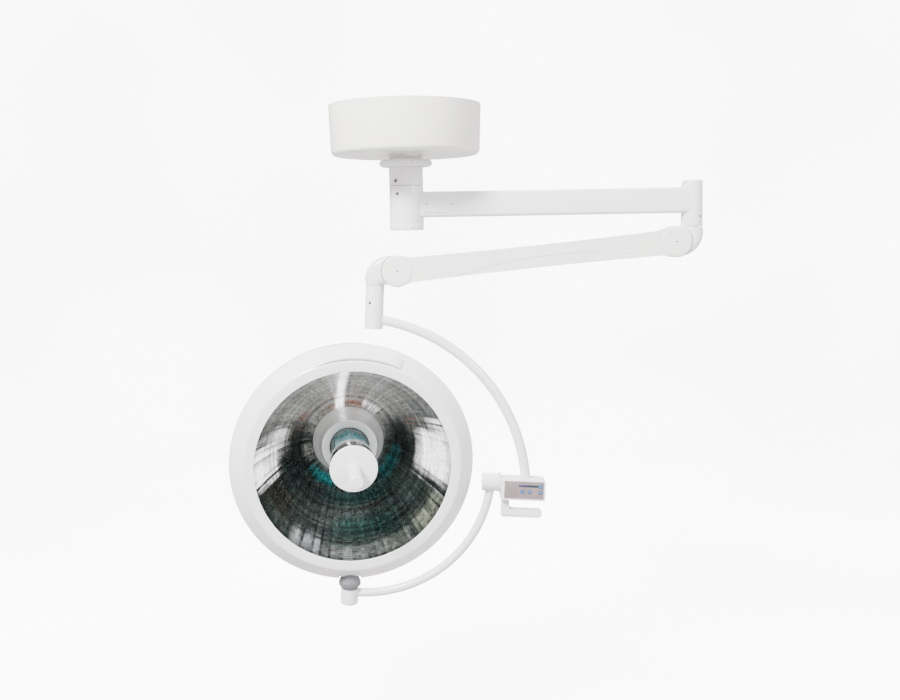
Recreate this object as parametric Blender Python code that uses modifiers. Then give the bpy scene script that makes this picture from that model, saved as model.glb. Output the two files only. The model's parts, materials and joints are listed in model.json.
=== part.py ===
"""Ceiling-mounted operating light: canopy, swivelling arms, level-keeping spring arm, yoke and mirror head.

Metres, +Z up. The origin is the middle of the ceiling plate's upper face, +X runs along the folded arms
and -Y points at the user. The yoke turns about its socket, the lower yoke about the tilt axis through the
control box, and the head about an upright spindle under its rim.
"""

import math

import bmesh
import bpy
from mathutils import Matrix, Vector

# ---------------------------------------------------------------- clearances
FIT = 0.0003
SEAM = 0.0012
OVERCUT = 0.004

# ---------------------------------------------------------------- ceiling set
PLATE_RADIUS = 0.150
PLATE_THICKNESS = 0.012
BOLT_CIRCLE = 0.125
BOLT_HOLE = 0.0065
BOLT_COUNT = 4
CABLE_ENTRY = 0.098
CABLE_BORE = 0.007
GLAND_RADIUS = 0.012
CANOPY_TOP_RADIUS = 0.212
CANOPY_BOTTOM_RADIUS = 0.207
CANOPY_HEIGHT = 0.139
CANOPY_EDGE = 0.014
CANOPY_WALL = 0.002
POST_RADIUS = 0.0475
POST_WALL = 0.006
COLLAR_RADIUS = 0.074
COLLAR_HEIGHT = 0.019
COLLAR_CHAMFER = 0.006
COLLAR_Z = -0.161
COLLAR_SPLIT_TURN = 17.0
TRANSFORMER_SIZE = (0.078, 0.070, 0.066)
SWIVEL_Z = -0.2235
SPINDLE_RADIUS = 0.020
SPINDLE_BORE = 0.013
SPINDLE_FLANGE = 0.020
BEARING_HEIGHT = 0.016
NUT_HEIGHT = 0.009
NUT_RADIUS = 0.029

# ---------------------------------------------------------------- horizontal arm
HUB_DROP = 0.1015
HUB_CAP_HEIGHT = 0.0215
ARM_REACH = 0.801
ARM_Z = -0.276
ARM_HEIGHT = 0.071
ARM_WIDTH = 0.058
ARM_WALL = 0.003
ARM_CORNER = 0.009
WIRE_HOLE = 0.009
COVER_LENGTH = 0.084
COVER_HEIGHT = 0.045
COVER_THICKNESS = 0.0012
END_HUB_RADIUS = 0.030
END_HUB_WALL = 0.0055
END_HUB_TOP = -0.2205
END_HUB_EDGE = 0.006
END_HUB_CAP = 0.018
END_SHOULDER = 0.010
ELBOW_SEAM_Z = -0.3495
ELBOW_SPIGOT = 0.0195
ELBOW_SPIGOT_LENGTH = 0.098

# ---------------------------------------------------------------- spring arm
PIVOT_BACK = 0.048
PIVOT_DROP = 0.042
SPRING_ARM_LENGTH = 0.785
SPRING_ARM_SLOPE = 5.08
HOUSING_RADIUS = 0.044
CASING_WIDTH = 0.062
CASING_END_HALF = 0.0355
CASING_MIDDLE_HALF = 0.031
CASING_WALL = 0.003
CASING_EDGE = 0.006
TONGUE_HALF = 0.0153
SLOT_HALF = 0.0038
POCKET_CLEARANCE = 0.002
PIN_RADIUS = 0.008
DISC_RADIUS = 0.0425
DISC_THICKNESS = 0.0024
LINK_OFFSET = 0.020
LINK_HEIGHT = 0.008
LINK_THICKNESS = 0.006
LINK_PIN = 0.003
SPRING_RADIUS = 0.0115
SPRING_WIRE = 0.0021
SPRING_TURNS = 11
SPRING_LENGTH = 0.290
SPRING_LIFT = 0.009
SEAT_FROM_PIVOT = 0.150
SEAT_THICKNESS = 0.004
ROD_RADIUS = 0.0045
LOWER_COVER_START = 0.063
LOWER_COVER_END = 0.625

# ---------------------------------------------------------------- elbows
BEND_CORNER = 0.002
UPPER_ELBOW_GROWTH = 0.021
LOWER_ELBOW_GROWTH = 0.028
YOKE_PIVOT_BACK = 0.0627
YOKE_PIVOT_DROP = 0.0417

# ---------------------------------------------------------------- upper yoke
YOKE_LEAN = 3.3
SOCKET_RADIUS = 0.026
SOCKET_WALL = 0.004
SOCKET_LENGTH = 0.124
YOKE_SPIGOT = 0.0165
YOKE_SPIGOT_LENGTH = 0.090
UPPER_TUBE_RADIUS = 0.0140
UPPER_ARC_RADIUS = 0.4993
UPPER_ARC_CENTRE = (-0.0452, -0.5930)
BOX_TOP_DROP = 0.5365
BOX_LEFT = 0.380
BOX_WIDTH = 0.1285
BOX_HEIGHT = 0.0605
BOX_DEPTH = 0.062
BOX_WALL = 0.003
BOX_CORNER = 0.012
PANEL_WIDTH = 0.1125
PANEL_HEIGHT = 0.0500
PANEL_THICKNESS = 0.002
PANEL_INSET = 0.0012
PANEL_MARGIN = 0.0105
PANEL_LOWERING = 0.0058
BUTTON_RADIUS = 0.0054
BUTTON_FLANGE = 0.0014
BUTTON_PROUD = 0.0014
BUTTON_TRAVEL = 0.0006
DISPLAY_WIDTH = 0.056
DISPLAY_HEIGHT = 0.006
GRIP_THICKNESS = 0.0235
GRIP_DEPTH = 0.028
GRIP_STEM = 0.0225
GRIP_MARGIN = 0.0045
GRIP_LENGTH = 0.117
FINGER_GAP = 0.0295

# ---------------------------------------------------------------- lower yoke
TILT = 5.04
TILT_DROP = 0.5523
STUB_LEFT = 0.3265
STUB_RADIUS = 0.0262
STUB_EDGE = 0.003
RING_RADIUS = 0.0285
RING_WIDTH = 0.0062
TILT_SHAFT = 0.012
TILT_SHAFT_IN_BOX = 0.022
LOWER_TUBE_RADIUS = 0.0125
LOWER_ARC_RADIUS = 0.3696
LOWER_ARC_CENTRE = (-0.0175, 0.0160)
FOOT_RADIUS = 0.0253
FOOT_TOP = -0.3405
FOOT_HEIGHT = 0.048
FOOT_EDGE = 0.008
FOOT_SPINDLE = 0.012
FOOT_SPINDLE_LENGTH = 0.045

# ---------------------------------------------------------------- lamp head
HEAD_X = -0.0468
HEAD_RISE = 0.0386
HEAD_TURN = 8.25
RIM_RADIUS = 0.350
RIM_FLAT_OUTER = 0.308
OPENING_RADIUS = 0.279
RIM_FRONT = 0.046
RIM_WALL = 0.004
RIM_LIP = 0.026
GRIP_ARC = 24.0
GRIP_PROUD = 0.008
HOUSING_DEPTH = 0.287
HOUSING_WALL = 0.0025
BARREL_RADIUS = 0.0322
BARREL_NECK = 0.0235
BARREL_FOOT = 0.0228
BARREL_HEIGHT = 0.0405
BARREL_BELT = 0.009
BARREL_TAPER = 0.012
BARREL_TOP = -0.2774
GLASS_THICKNESS = 0.004
MIRROR_WALL = 0.0015
APEX_RADIUS = 0.109
APEX_DEPTH = 0.243
MIRROR_POWER = 1.7
CONE_TOP_RADIUS = 0.084
CONE_HEIGHT = 0.070
CONE_BORE = 0.060
HEX_RADIUS = 0.055
HEX_WALL = 0.0025
BAND_RADIUS = 0.064
BAND_WALL = 0.0015
BAND_BACK = -0.029
BAND_FRONT = 0.050
CENTRE_DISC_RADIUS = 0.068
CENTRE_DISC_THICKNESS = 0.0065
HANDLE_RADIUS = 0.0195
HANDLE_TIP = 0.188
HANDLE_BORE = 0.0106
HANDLE_BORE_DEPTH = 0.040
SPINDLE_SHANK = 0.010
SCREW_SHANK = 0.005
CARRIER_RADIUS = 0.030
CARRIER_BACK = -0.066
CARRIER_FRONT = -0.036
BULB_RADIUS = 0.0065
BULB_LENGTH = 0.042

# ---------------------------------------------------------------- worked-out places
POST_BORE = POST_RADIUS - POST_WALL
HUB_BOTTOM_Z = SWIVEL_Z - HUB_DROP
SPINDLE_END_Z = HUB_BOTTOM_Z + 0.0075
UPPER_PIVOT = (ARM_REACH - PIVOT_BACK, ELBOW_SEAM_Z - PIVOT_DROP)
LOWER_PIVOT = (
    UPPER_PIVOT[0] - SPRING_ARM_LENGTH * math.cos(math.radians(SPRING_ARM_SLOPE)),
    UPPER_PIVOT[1] - SPRING_ARM_LENGTH * math.sin(math.radians(SPRING_ARM_SLOPE)),
)
LEAN = math.radians(YOKE_LEAN)
YOKE_X = LOWER_PIVOT[0] - YOKE_PIVOT_BACK * math.cos(LEAN) - YOKE_PIVOT_DROP * math.sin(LEAN)
YOKE_Z = LOWER_PIVOT[1] + YOKE_PIVOT_BACK * math.sin(LEAN) - YOKE_PIVOT_DROP * math.cos(LEAN)
BOX_TOP = -BOX_TOP_DROP
STUB_AXIS = -TILT_DROP
BOX_FRONT = -BOX_DEPTH / 2
PANEL_FACE = BOX_FRONT + PANEL_INSET
PANEL_LEFT = BOX_LEFT + PANEL_MARGIN
PANEL_TOP = BOX_TOP - PANEL_LOWERING
END_HUB_BORE = END_HUB_RADIUS - END_HUB_WALL
SOCKET_BORE = SOCKET_RADIUS - SOCKET_WALL
POCKET_RADIUS = HOUSING_RADIUS + POCKET_CLEARANCE
GLASS_FRONT = RIM_FRONT - RIM_WALL - FIT
GLASS_BACK = GLASS_FRONT - GLASS_THICKNESS
MIRROR_EDGE = GLASS_BACK - FIT
DISC_BACK = BAND_FRONT + FIT
DISC_FRONT = DISC_BACK + CENTRE_DISC_THICKNESS

UPRIGHT = (math.pi / 2, 0, 0)
ALONG_X = (0, math.pi / 2, 0)
STILL = (0, 0, 0)

PARTS = "operating_light"
CUTTERS = "cutters"


# ================================================================ scene and materials
def clear_scene():
    for old in list(bpy.data.objects):
        bpy.data.objects.remove(old)
    for name in (PARTS, CUTTERS):
        if name in bpy.data.collections:
            bpy.data.collections.remove(bpy.data.collections[name])
        bpy.context.scene.collection.children.link(bpy.data.collections.new(name))


def material(name, color, roughness, metallic=0.0, alpha=1.0):
    if name in bpy.data.materials:
        return bpy.data.materials[name]
    made = bpy.data.materials.new(name)
    made.use_nodes = True
    shader = made.node_tree.nodes["Principled BSDF"]
    shader.inputs["Base Color"].default_value = (*color, 1.0)
    shader.inputs["Roughness"].default_value = roughness
    shader.inputs["Metallic"].default_value = metallic
    shader.inputs["Alpha"].default_value = alpha
    return made


def enamel():
    return material("white_enamel", (0.86, 0.85, 0.83), 0.22)


def white_plastic():
    return material("white_plastic", (0.84, 0.83, 0.82), 0.38)


def grey_plastic():
    return material("grey_plastic", (0.30, 0.30, 0.33), 0.45)


def steel():
    return material("bright_steel", (0.62, 0.62, 0.63), 0.28, 1.0)


def zinc():
    return material("zinc_plate", (0.55, 0.56, 0.58), 0.42, 1.0)


def chrome():
    return material("chrome", (0.72, 0.74, 0.76), 0.08, 1.0)


def bronze():
    return material("bronze", (0.58, 0.42, 0.22), 0.35, 1.0)


# ================================================================ placing and shaping
def hold(obj, parent, location, rotation, collection=PARTS):
    for home in list(obj.users_collection):
        home.objects.unlink(obj)
    bpy.data.collections[collection].objects.link(obj)
    obj.parent = parent
    obj.location = location
    obj.rotation_euler = rotation
    return obj


def pivot(name, location, rotation=STILL, parent=None):
    marker = bpy.data.objects.new(name, None)
    return hold(marker, parent, location, rotation)


def as_cutter(obj, parent, location, rotation):
    hold(obj, parent, location, rotation, CUTTERS)
    obj.hide_render = True
    obj.display_type = "WIRE"
    return obj


def paint(obj, finish):
    obj.data.materials.clear()
    obj.data.materials.append(finish)
    obj.data.shade_smooth()
    obj.data.set_sharp_from_angle(angle=math.radians(32))
    return obj


def arc(centre, radius, start, end, steps):
    """Points on a circle from start to end, in degrees, both ends included."""
    turn = [math.radians(start + (end - start) * k / steps) for k in range(steps + 1)]
    return [(centre[0] + radius * math.cos(a), centre[1] + radius * math.sin(a)) for a in turn]


def rounded(corners, steps=3):
    """An outline of (x, y) or (x, y, fillet radius) corners, with each fillet as an arc."""
    points = []
    for index, corner in enumerate(corners):
        here = Vector(corner[:2])
        fillet = corner[2] if len(corner) > 2 else 0.0
        if fillet == 0.0:
            points.append(tuple(here))
            continue
        to_last = (Vector(corners[index - 1][:2]) - here).normalized()
        to_next = (Vector(corners[(index + 1) % len(corners)][:2]) - here).normalized()
        half = to_last.angle(to_next) / 2
        centre = here + (to_last + to_next).normalized() * (fillet / math.sin(half))
        first = here + to_last * (fillet / math.tan(half)) - centre
        last = here + to_next * (fillet / math.tan(half)) - centre
        start = math.atan2(first.y, first.x)
        sweep = math.remainder(math.atan2(last.y, last.x) - start, math.tau)
        for k in range(steps + 1):
            angle = start + sweep * k / steps
            points.append((centre.x + fillet * math.cos(angle), centre.y + fillet * math.sin(angle)))
    return points


def solid_mesh(obj):
    """The object's evaluated shape as one welded mesh, with its faces turned outward."""
    bpy.context.view_layer.update()
    graph = bpy.context.evaluated_depsgraph_get()
    mesh = bpy.data.meshes.new_from_object(obj.evaluated_get(graph))
    shape = bmesh.new()
    shape.from_mesh(mesh)
    bmesh.ops.remove_doubles(shape, verts=shape.verts, dist=1e-6)
    bmesh.ops.recalc_face_normals(shape, faces=shape.faces)
    shape.to_mesh(mesh)
    shape.free()
    return mesh


def from_curve(name, curve):
    """A mesh object that takes the curve's shape."""
    guide = bpy.data.objects.new(name + "_guide", curve)
    bpy.context.scene.collection.objects.link(guide)
    made = bpy.data.objects.new(name, solid_mesh(guide))
    made.matrix_world = guide.matrix_world
    bpy.data.objects.remove(guide)
    return made


def slab(name, outline, thickness):
    """A flat outline in its own XY plane, as thick as thickness about that plane."""
    curve = bpy.data.curves.new(name, "CURVE")
    curve.dimensions = "2D"
    curve.fill_mode = "BOTH"
    curve.extrude = thickness / 2
    spline = curve.splines.new("POLY")
    spline.points.add(len(outline) - 1)
    for point, place in zip(spline.points, outline):
        point.co = (*place, 0, 1)
    spline.use_cyclic_u = True
    made = from_curve(name, curve)
    shape = bmesh.new()
    shape.from_mesh(made.data)
    bmesh.ops.dissolve_limit(shape, angle_limit=0.01, verts=shape.verts, edges=shape.edges)
    shape.to_mesh(made.data)
    shape.free()
    return made


def rod(name, path, radius, sides):
    """A round rod or wire along a path of 3-D points, with flat ends."""
    curve = bpy.data.curves.new(name, "CURVE")
    curve.dimensions = "3D"
    curve.bevel_depth = radius
    curve.bevel_resolution = (sides - 4) // 2
    curve.use_fill_caps = True
    spline = curve.splines.new("POLY")
    spline.points.add(len(path) - 1)
    for point, place in zip(spline.points, path):
        point.co = (*place, 1)
    return from_curve(name, curve)


def turned(name, profile, segments, closed=False):
    """A profile of (radius, height) points, down its outer side, turned about Z."""
    mesh = bpy.data.meshes.new(name)
    edges = [(k, k + 1) for k in range(len(profile) - 1)]
    if closed:
        edges.append((len(profile) - 1, 0))
    mesh.from_pydata([(radius, 0, height) for radius, height in profile], edges, [])
    made = bpy.data.objects.new(name, mesh)
    bpy.context.scene.collection.objects.link(made)
    screw = made.modifiers.new("turn", "SCREW")
    screw.angle = math.tau
    screw.steps = segments
    screw.render_steps = segments
    screw.use_merge_vertices = True
    screw.merge_threshold = 1e-5
    made.data = solid_mesh(made)
    made.modifiers.clear()
    return made


def cylinder(name, radius, length, segments=24):
    """A cylinder along Z about its own middle."""
    shape = bmesh.new()
    bmesh.ops.create_cone(
        shape, cap_ends=True, segments=segments, radius1=radius, radius2=radius, depth=length
    )
    mesh = bpy.data.meshes.new(name)
    shape.to_mesh(mesh)
    shape.free()
    return bpy.data.objects.new(name, mesh)


def block(name, size):
    """A box of that size about its own middle."""
    shape = bmesh.new()
    bmesh.ops.create_cube(shape, size=1.0)
    bmesh.ops.scale(shape, vec=size, verts=shape.verts)
    mesh = bpy.data.meshes.new(name)
    shape.to_mesh(mesh)
    shape.free()
    return bpy.data.objects.new(name, mesh)


def round_edges(obj, width, segments=2, angle=40):
    bevel = obj.modifiers.new("round_edges", "BEVEL")
    bevel.width = width
    bevel.segments = segments
    bevel.limit_method = "ANGLE"
    bevel.angle_limit = math.radians(angle)
    bevel.use_clamp_overlap = False
    return obj


def combine(obj, tool, operation):
    boolean = obj.modifiers.new(tool.name, "BOOLEAN")
    boolean.operation = operation
    boolean.solver = "EXACT"
    boolean.object = tool
    return obj


def cut(obj, tool):
    return combine(obj, tool, "DIFFERENCE")


def join(obj, tool):
    return combine(obj, tool, "UNION")


def keep_inside(obj, tool):
    return combine(obj, tool, "INTERSECT")


def finished(obj, finish):
    """Applies the cuts and joins, then shades and paints the piece."""
    bpy.context.view_layer.update()
    graph = bpy.context.evaluated_depsgraph_get()
    obj.data = bpy.data.meshes.new_from_object(obj.evaluated_get(graph))
    obj.modifiers.clear()
    return paint(obj, finish)


def drill(obj, name, radius, length, parent, location, rotation=STILL, segments=20):
    tool = as_cutter(cylinder(name, radius, length, segments), parent, location, rotation)
    return cut(obj, tool)


# ================================================================ ceiling set
def ceiling_plate():
    profile = [(0, 0), (PLATE_RADIUS, 0), (PLATE_RADIUS, -PLATE_THICKNESS), (0, -PLATE_THICKNESS)]
    plate = hold(turned("ceiling_plate", profile, 36), None, STILL, STILL)
    depth = PLATE_THICKNESS * 3
    for k in range(BOLT_COUNT):
        turn = math.tau * (k + 0.5) / BOLT_COUNT
        place = (BOLT_CIRCLE * math.cos(turn), BOLT_CIRCLE * math.sin(turn), 0)
        drill(plate, f"bolt_hole_{k + 1}", BOLT_HOLE, depth, None, place, segments=16)
    drill(plate, "cable_hole", GLAND_RADIUS + FIT, depth, None, (0, CABLE_ENTRY, 0), segments=16)
    finished(plate, zinc())


def cable_gland():
    flange = GLAND_RADIUS * 1.4
    under = -PLATE_THICKNESS - FIT
    profile = [
        (GLAND_RADIUS, -FIT),
        (GLAND_RADIUS, under),
        (flange, under),
        (flange, under - 0.006),
        (GLAND_RADIUS, under - 0.010),
        (CABLE_BORE * 1.2, under - 0.020),
        (CABLE_BORE, under - 0.020),
        (CABLE_BORE, -FIT),
    ]
    gland = hold(turned("cable_gland", profile, 16, closed=True), None, (0, CABLE_ENTRY, 0), STILL)
    paint(gland, grey_plastic())


def canopy():
    inner_edge = CANOPY_EDGE - CANOPY_WALL
    mouth = POST_RADIUS + 0.0015
    corners = [
        (CANOPY_TOP_RADIUS, -0.001),
        (CANOPY_BOTTOM_RADIUS, -CANOPY_HEIGHT, CANOPY_EDGE),
        (mouth, -CANOPY_HEIGHT),
        (mouth, -CANOPY_HEIGHT + CANOPY_WALL),
        (CANOPY_BOTTOM_RADIUS - CANOPY_WALL, -CANOPY_HEIGHT + CANOPY_WALL, inner_edge),
        (CANOPY_TOP_RADIUS - CANOPY_WALL, -0.001),
    ]
    cover = hold(turned("canopy", rounded(corners, 3), 40, closed=True), None, STILL, STILL)
    paint(cover, enamel())


def collar_halves():
    inner = POST_RADIUS + FIT
    top = COLLAR_HEIGHT / 2
    corners = [
        (inner, top),
        (COLLAR_RADIUS - COLLAR_CHAMFER, top, 0.002),
        (COLLAR_RADIUS, 0.003, 0.002),
        (COLLAR_RADIUS, -0.003, 0.002),
        (COLLAR_RADIUS - COLLAR_CHAMFER, -top, 0.002),
        (inner, -top),
    ]
    turn = (0, 0, math.radians(COLLAR_SPLIT_TURN))
    for side, name in ((-1, "collar_half_left"), (1, "collar_half_right")):
        half = turned(name, rounded(corners, 1), 32, closed=True)
        hold(half, None, (0, 0, COLLAR_Z), turn)
        room = block(name + "_other_side", (COLLAR_RADIUS * 3, COLLAR_RADIUS * 3, COLLAR_HEIGHT * 2))
        middle = -side * (COLLAR_RADIUS * 1.5 - SEAM / 2)
        room.data.transform(Matrix.Translation((middle, 0, 0)))
        as_cutter(room, None, (0, 0, COLLAR_Z), turn)
        cut(half, room)
        finished(half, enamel())


def ceiling_post():
    top = -PLATE_THICKNESS - FIT
    profile = [
        (POST_RADIUS, top),
        (POST_RADIUS, SWIVEL_Z + SEAM / 2),
        (POST_BORE, SWIVEL_Z + SEAM / 2),
        (POST_BORE, top),
    ]
    post = hold(turned("ceiling_post", profile, 32, closed=True), None, STILL, STILL)
    paint(post, enamel())


def transformer():
    depth = TRANSFORMER_SIZE[2]
    core = block("transformer", TRANSFORMER_SIZE)
    middle = (CANOPY_BOTTOM_RADIUS + POST_RADIUS) / 2 - 0.012
    hold(core, None, (middle, 0, -PLATE_THICKNESS - FIT - depth / 2), STILL)
    round_edges(core, 0.004, 1)
    finished(core, material("transformer_core", (0.16, 0.15, 0.14), 0.6, 0.4))


def swivel_spindle():
    flange = POST_BORE - FIT
    bottom = SWIVEL_Z + SEAM
    profile = [
        (flange, bottom + SPINDLE_FLANGE),
        (flange, bottom),
        (SPINDLE_RADIUS, bottom),
        (SPINDLE_RADIUS, SPINDLE_END_Z),
        (SPINDLE_BORE, SPINDLE_END_Z),
        (SPINDLE_BORE, bottom + SPINDLE_FLANGE),
    ]
    spindle = turned("swivel_spindle", profile, 24, closed=True)
    paint(hold(spindle, None, STILL, STILL), steel())
    bore = (SPINDLE_RADIUS + FIT) / math.cos(math.pi / 6)
    ring = [(NUT_RADIUS, NUT_HEIGHT), (NUT_RADIUS, 0), (bore, 0), (bore, NUT_HEIGHT)]
    nut = turned("spindle_nut", ring, 6, closed=True)
    paint(hold(nut, None, (0, 0, SPINDLE_END_Z + 0.001), STILL), zinc())


# ================================================================ horizontal arm
def arm_hub():
    top = SWIVEL_Z - SEAM / 2
    profile = [
        (POST_RADIUS, top),
        (POST_RADIUS, HUB_BOTTOM_Z),
        (POST_BORE, HUB_BOTTOM_Z),
        (POST_BORE, top),
    ]
    hub = hold(turned("arm_hub", profile, 32, closed=True), None, STILL, STILL)
    drill(hub, "hub_wire_hole", WIRE_HOLE, POST_WALL * 4, None, (POST_RADIUS, 0, ARM_Z), ALONG_X, 12)
    finished(hub, enamel())


def hub_bottom_cap():
    top = -FIT
    bottom = -HUB_CAP_HEIGHT
    spigot = POST_BORE - FIT
    hollow = spigot - 0.004
    corners = [
        (0, bottom + 0.004),
        (hollow, bottom + 0.004),
        (hollow, 0.005),
        (spigot, 0.005),
        (spigot, top),
        (POST_RADIUS, top),
        (POST_RADIUS, bottom, 0.002),
        (0, bottom),
    ]
    cap = turned("hub_bottom_cap", rounded(corners, 2), 32)
    hold(cap, None, (0, 0, HUB_BOTTOM_Z), STILL)
    slot = block("cap_slot", (0.009, 0.006, 0.0025))
    place = (0.017, -POST_RADIUS + 0.004, HUB_BOTTOM_Z - HUB_CAP_HEIGHT + 0.007)
    cut(cap, as_cutter(slot, None, place, (0, 0, math.radians(20))))
    finished(cap, enamel())


def hub_bearings():
    inner = SPINDLE_RADIUS + FIT
    outer = POST_BORE - FIT
    profile = [(outer, BEARING_HEIGHT), (outer, 0), (inner, 0), (inner, BEARING_HEIGHT)]
    heights = {
        "upper_bearing": SWIVEL_Z - 0.003 - BEARING_HEIGHT,
        "lower_bearing": SPINDLE_END_Z + 0.001 + NUT_HEIGHT + FIT,
    }
    for name, height in heights.items():
        ring = turned(name, profile, 24, closed=True)
        paint(hold(ring, None, (0, 0, height), STILL), steel())


def horizontal_arm_tube():
    start = POST_RADIUS * 0.4
    end = ARM_REACH - END_HUB_RADIUS * 0.2
    middle = ((start + end) / 2, 0, ARM_Z)
    half = (ARM_HEIGHT / 2, ARM_WIDTH / 2)
    signs = ((-1, -1), (1, -1), (1, 1), (-1, 1))
    outer = [(sx * half[0], sy * half[1], ARM_CORNER) for sx, sy in signs]
    inner = [
        (sx * (half[0] - ARM_WALL), sy * (half[1] - ARM_WALL), ARM_CORNER - ARM_WALL)
        for sx, sy in signs
    ]
    tube = hold(slab("horizontal_arm_tube", rounded(outer, 3), end - start), None, middle, ALONG_X)
    bore = slab("arm_bore", rounded(inner, 3), (end - start) * 1.2)
    cut(tube, as_cutter(bore, None, middle, ALONG_X))
    tall = ARM_HEIGHT * 2
    drill(tube, "hub_room", POST_RADIUS + FIT, tall, None, (0, 0, ARM_Z), segments=36)
    drill(tube, "end_hub_room", END_HUB_RADIUS + FIT, tall, None, (ARM_REACH, 0, ARM_Z), segments=32)
    finished(tube, enamel())


def arm_access_cover():
    start = POST_RADIUS
    end = start + COVER_LENGTH
    high = COVER_HEIGHT / 2
    outline = [(start, -high), (end, -high, 0.005), (end, high, 0.005), (start, high)]
    cover = slab("arm_access_cover", rounded(outline, 3), COVER_THICKNESS)
    depth = -ARM_WIDTH / 2 - FIT - COVER_THICKNESS / 2
    hold(cover, None, (0, depth, ARM_Z), UPRIGHT)
    paint(cover, enamel())


def arm_end_hub():
    bottom = ELBOW_SEAM_Z + SEAM / 2
    ceiling = END_HUB_TOP - END_HUB_CAP
    corners = [
        (0, END_HUB_TOP),
        (END_HUB_RADIUS, END_HUB_TOP, END_HUB_EDGE),
        (END_HUB_RADIUS, bottom),
        (END_HUB_BORE, bottom),
        (END_HUB_BORE, ceiling),
        (0, ceiling),
    ]
    hub = turned("arm_end_hub", rounded(corners, 3), 32)
    hold(hub, None, (ARM_REACH, 0, 0), STILL)
    left = ARM_REACH - END_HUB_RADIUS
    shoulder = block("end_hub_shoulder", (0.04, 0.08, 0.02))
    shoulder.data.transform(Matrix.Translation((0, 0, 0.01)))
    tip = (left + END_SHOULDER / 2, 0, (END_HUB_TOP + ARM_Z + ARM_HEIGHT / 2) / 2)
    slope = math.atan2(END_HUB_TOP - ARM_Z - ARM_HEIGHT / 2, END_SHOULDER)
    cut(hub, as_cutter(shoulder, None, tip, (0, -slope, 0)))
    wire = (left, 0, ARM_Z)
    drill(hub, "end_hub_wire_hole", WIRE_HOLE, END_HUB_WALL * 4, None, wire, ALONG_X, 12)
    finished(hub, enamel())


def bush(name, outer, inner, top, length, x, parent=None):
    profile = [(outer, top), (outer, top - length), (inner, top - length), (inner, top)]
    ring = turned(name, profile, 28, closed=True)
    paint(hold(ring, parent, (x, 0, 0), STILL), bronze())


# ================================================================ elbows
def elbow_reach(angle, bore, growth, corner, centre, side):
    """How far the elbow reaches from its inner corner at that fan angle, up to the housing's circle."""
    straight = bore * 2 + BEND_CORNER + growth * angle / 90
    heading = Vector((math.cos(math.radians(angle)), -math.sin(math.radians(angle)))) * side
    to_centre = Vector(centre) - Vector(corner)
    facing = math.degrees(math.atan2(-to_centre.y * side, to_centre.x * side))
    if angle < facing:
        return straight
    along = to_centre.dot(heading)
    across = to_centre.length_squared - along**2
    limit = (HOUSING_RADIUS - 0.001) ** 2
    if along <= 0 or across >= limit:
        return straight
    return min(straight, along + math.sqrt(limit - across))


def elbow_casting(name, x, seam, radius, growth, centre, side, last_angle):
    """A fan of sections about the bend's inner corner, from the round seam to the flat tongue."""
    corner = (x - side * (radius + BEND_CORNER), seam)
    around = 24
    steps = 13
    shape = bmesh.new()
    rings = []
    for step in range(steps + 1):
        angle = last_angle * step / steps
        reach = elbow_reach(angle, radius, growth, corner, centre, side)
        blend = min(angle / 70, 1.0)
        half_width = radius + (CASING_WIDTH / 2 - radius) * blend
        power = 2 / (2 + 2.2 * blend)
        middle = (reach + BEND_CORNER) / 2
        half = (reach - BEND_CORNER) / 2
        heading = Vector((math.cos(math.radians(angle)), -math.sin(math.radians(angle)))) * side
        ring = []
        for k in range(around):
            turn = math.tau * k / around
            out = math.copysign(abs(math.cos(turn)) ** power, math.cos(turn))
            wide = math.copysign(abs(math.sin(turn)) ** power, math.sin(turn))
            place = Vector(corner) + heading * (middle + half * out)
            ring.append(shape.verts.new((place.x, half_width * wide, place.y)))
        rings.append(ring)
    for first, second in zip(rings, rings[1:]):
        for k in range(around):
            after = (k + 1) % around
            shape.faces.new((first[k], first[after], second[after], second[k]))
    shape.faces.new(rings[0])
    shape.faces.new(rings[-1])
    bmesh.ops.recalc_face_normals(shape, faces=shape.faces)
    mesh = bpy.data.meshes.new(name)
    shape.to_mesh(mesh)
    shape.free()
    return bpy.data.objects.new(name, mesh)


def fork_elbow(name, axis, seam, radius, growth, offset, centre, side, last_angle, spigot, length):
    """An elbow casting with a spigot in its neighbour and a slotted tongue on the spring arm's pin."""
    elbow = elbow_casting(name, 0, seam, radius, growth, offset, side, last_angle)
    hold(elbow, axis, STILL, STILL)
    overlap = radius * 0.7
    stem = cylinder(name + "_spigot", spigot, length + overlap, 28)
    reach = side * (length - overlap) / 2
    join(elbow, as_cutter(stem, axis, (0, 0, seam + reach), STILL))
    cheek = CASING_WIDTH / 2 - TONGUE_HALF + OVERCUT
    for face in (-1, 1):
        depth = face * (TONGUE_HALF + cheek / 2)
        place = (centre[0], depth, centre[1])
        label = name + ("_front_pocket" if face < 0 else "_back_pocket")
        drill(elbow, label, POCKET_RADIUS, cheek, None, place, UPRIGHT, 48)
    place = (centre[0], 0, centre[1])
    drill(elbow, name + "_slot", HOUSING_RADIUS, SLOT_HALF * 2, None, place, UPRIGHT, 40)
    drill(elbow, name + "_pin_bore", PIN_RADIUS + FIT, CASING_WIDTH, None, place, UPRIGHT, 20)
    place = (centre[0], 0, centre[1] - LINK_OFFSET)
    drill(elbow, name + "_link_bore", LINK_PIN + FIT, CASING_WIDTH, None, place, UPRIGHT, 12)
    wire_start = seam + side * (length + OVERCUT)
    wire_end = offset[1]
    place = (0, 0, (wire_start + wire_end) / 2)
    drill(elbow, name + "_wire_bore", 0.006, abs(wire_start - wire_end), axis, place, segments=12)
    finished(elbow, enamel())


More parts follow.
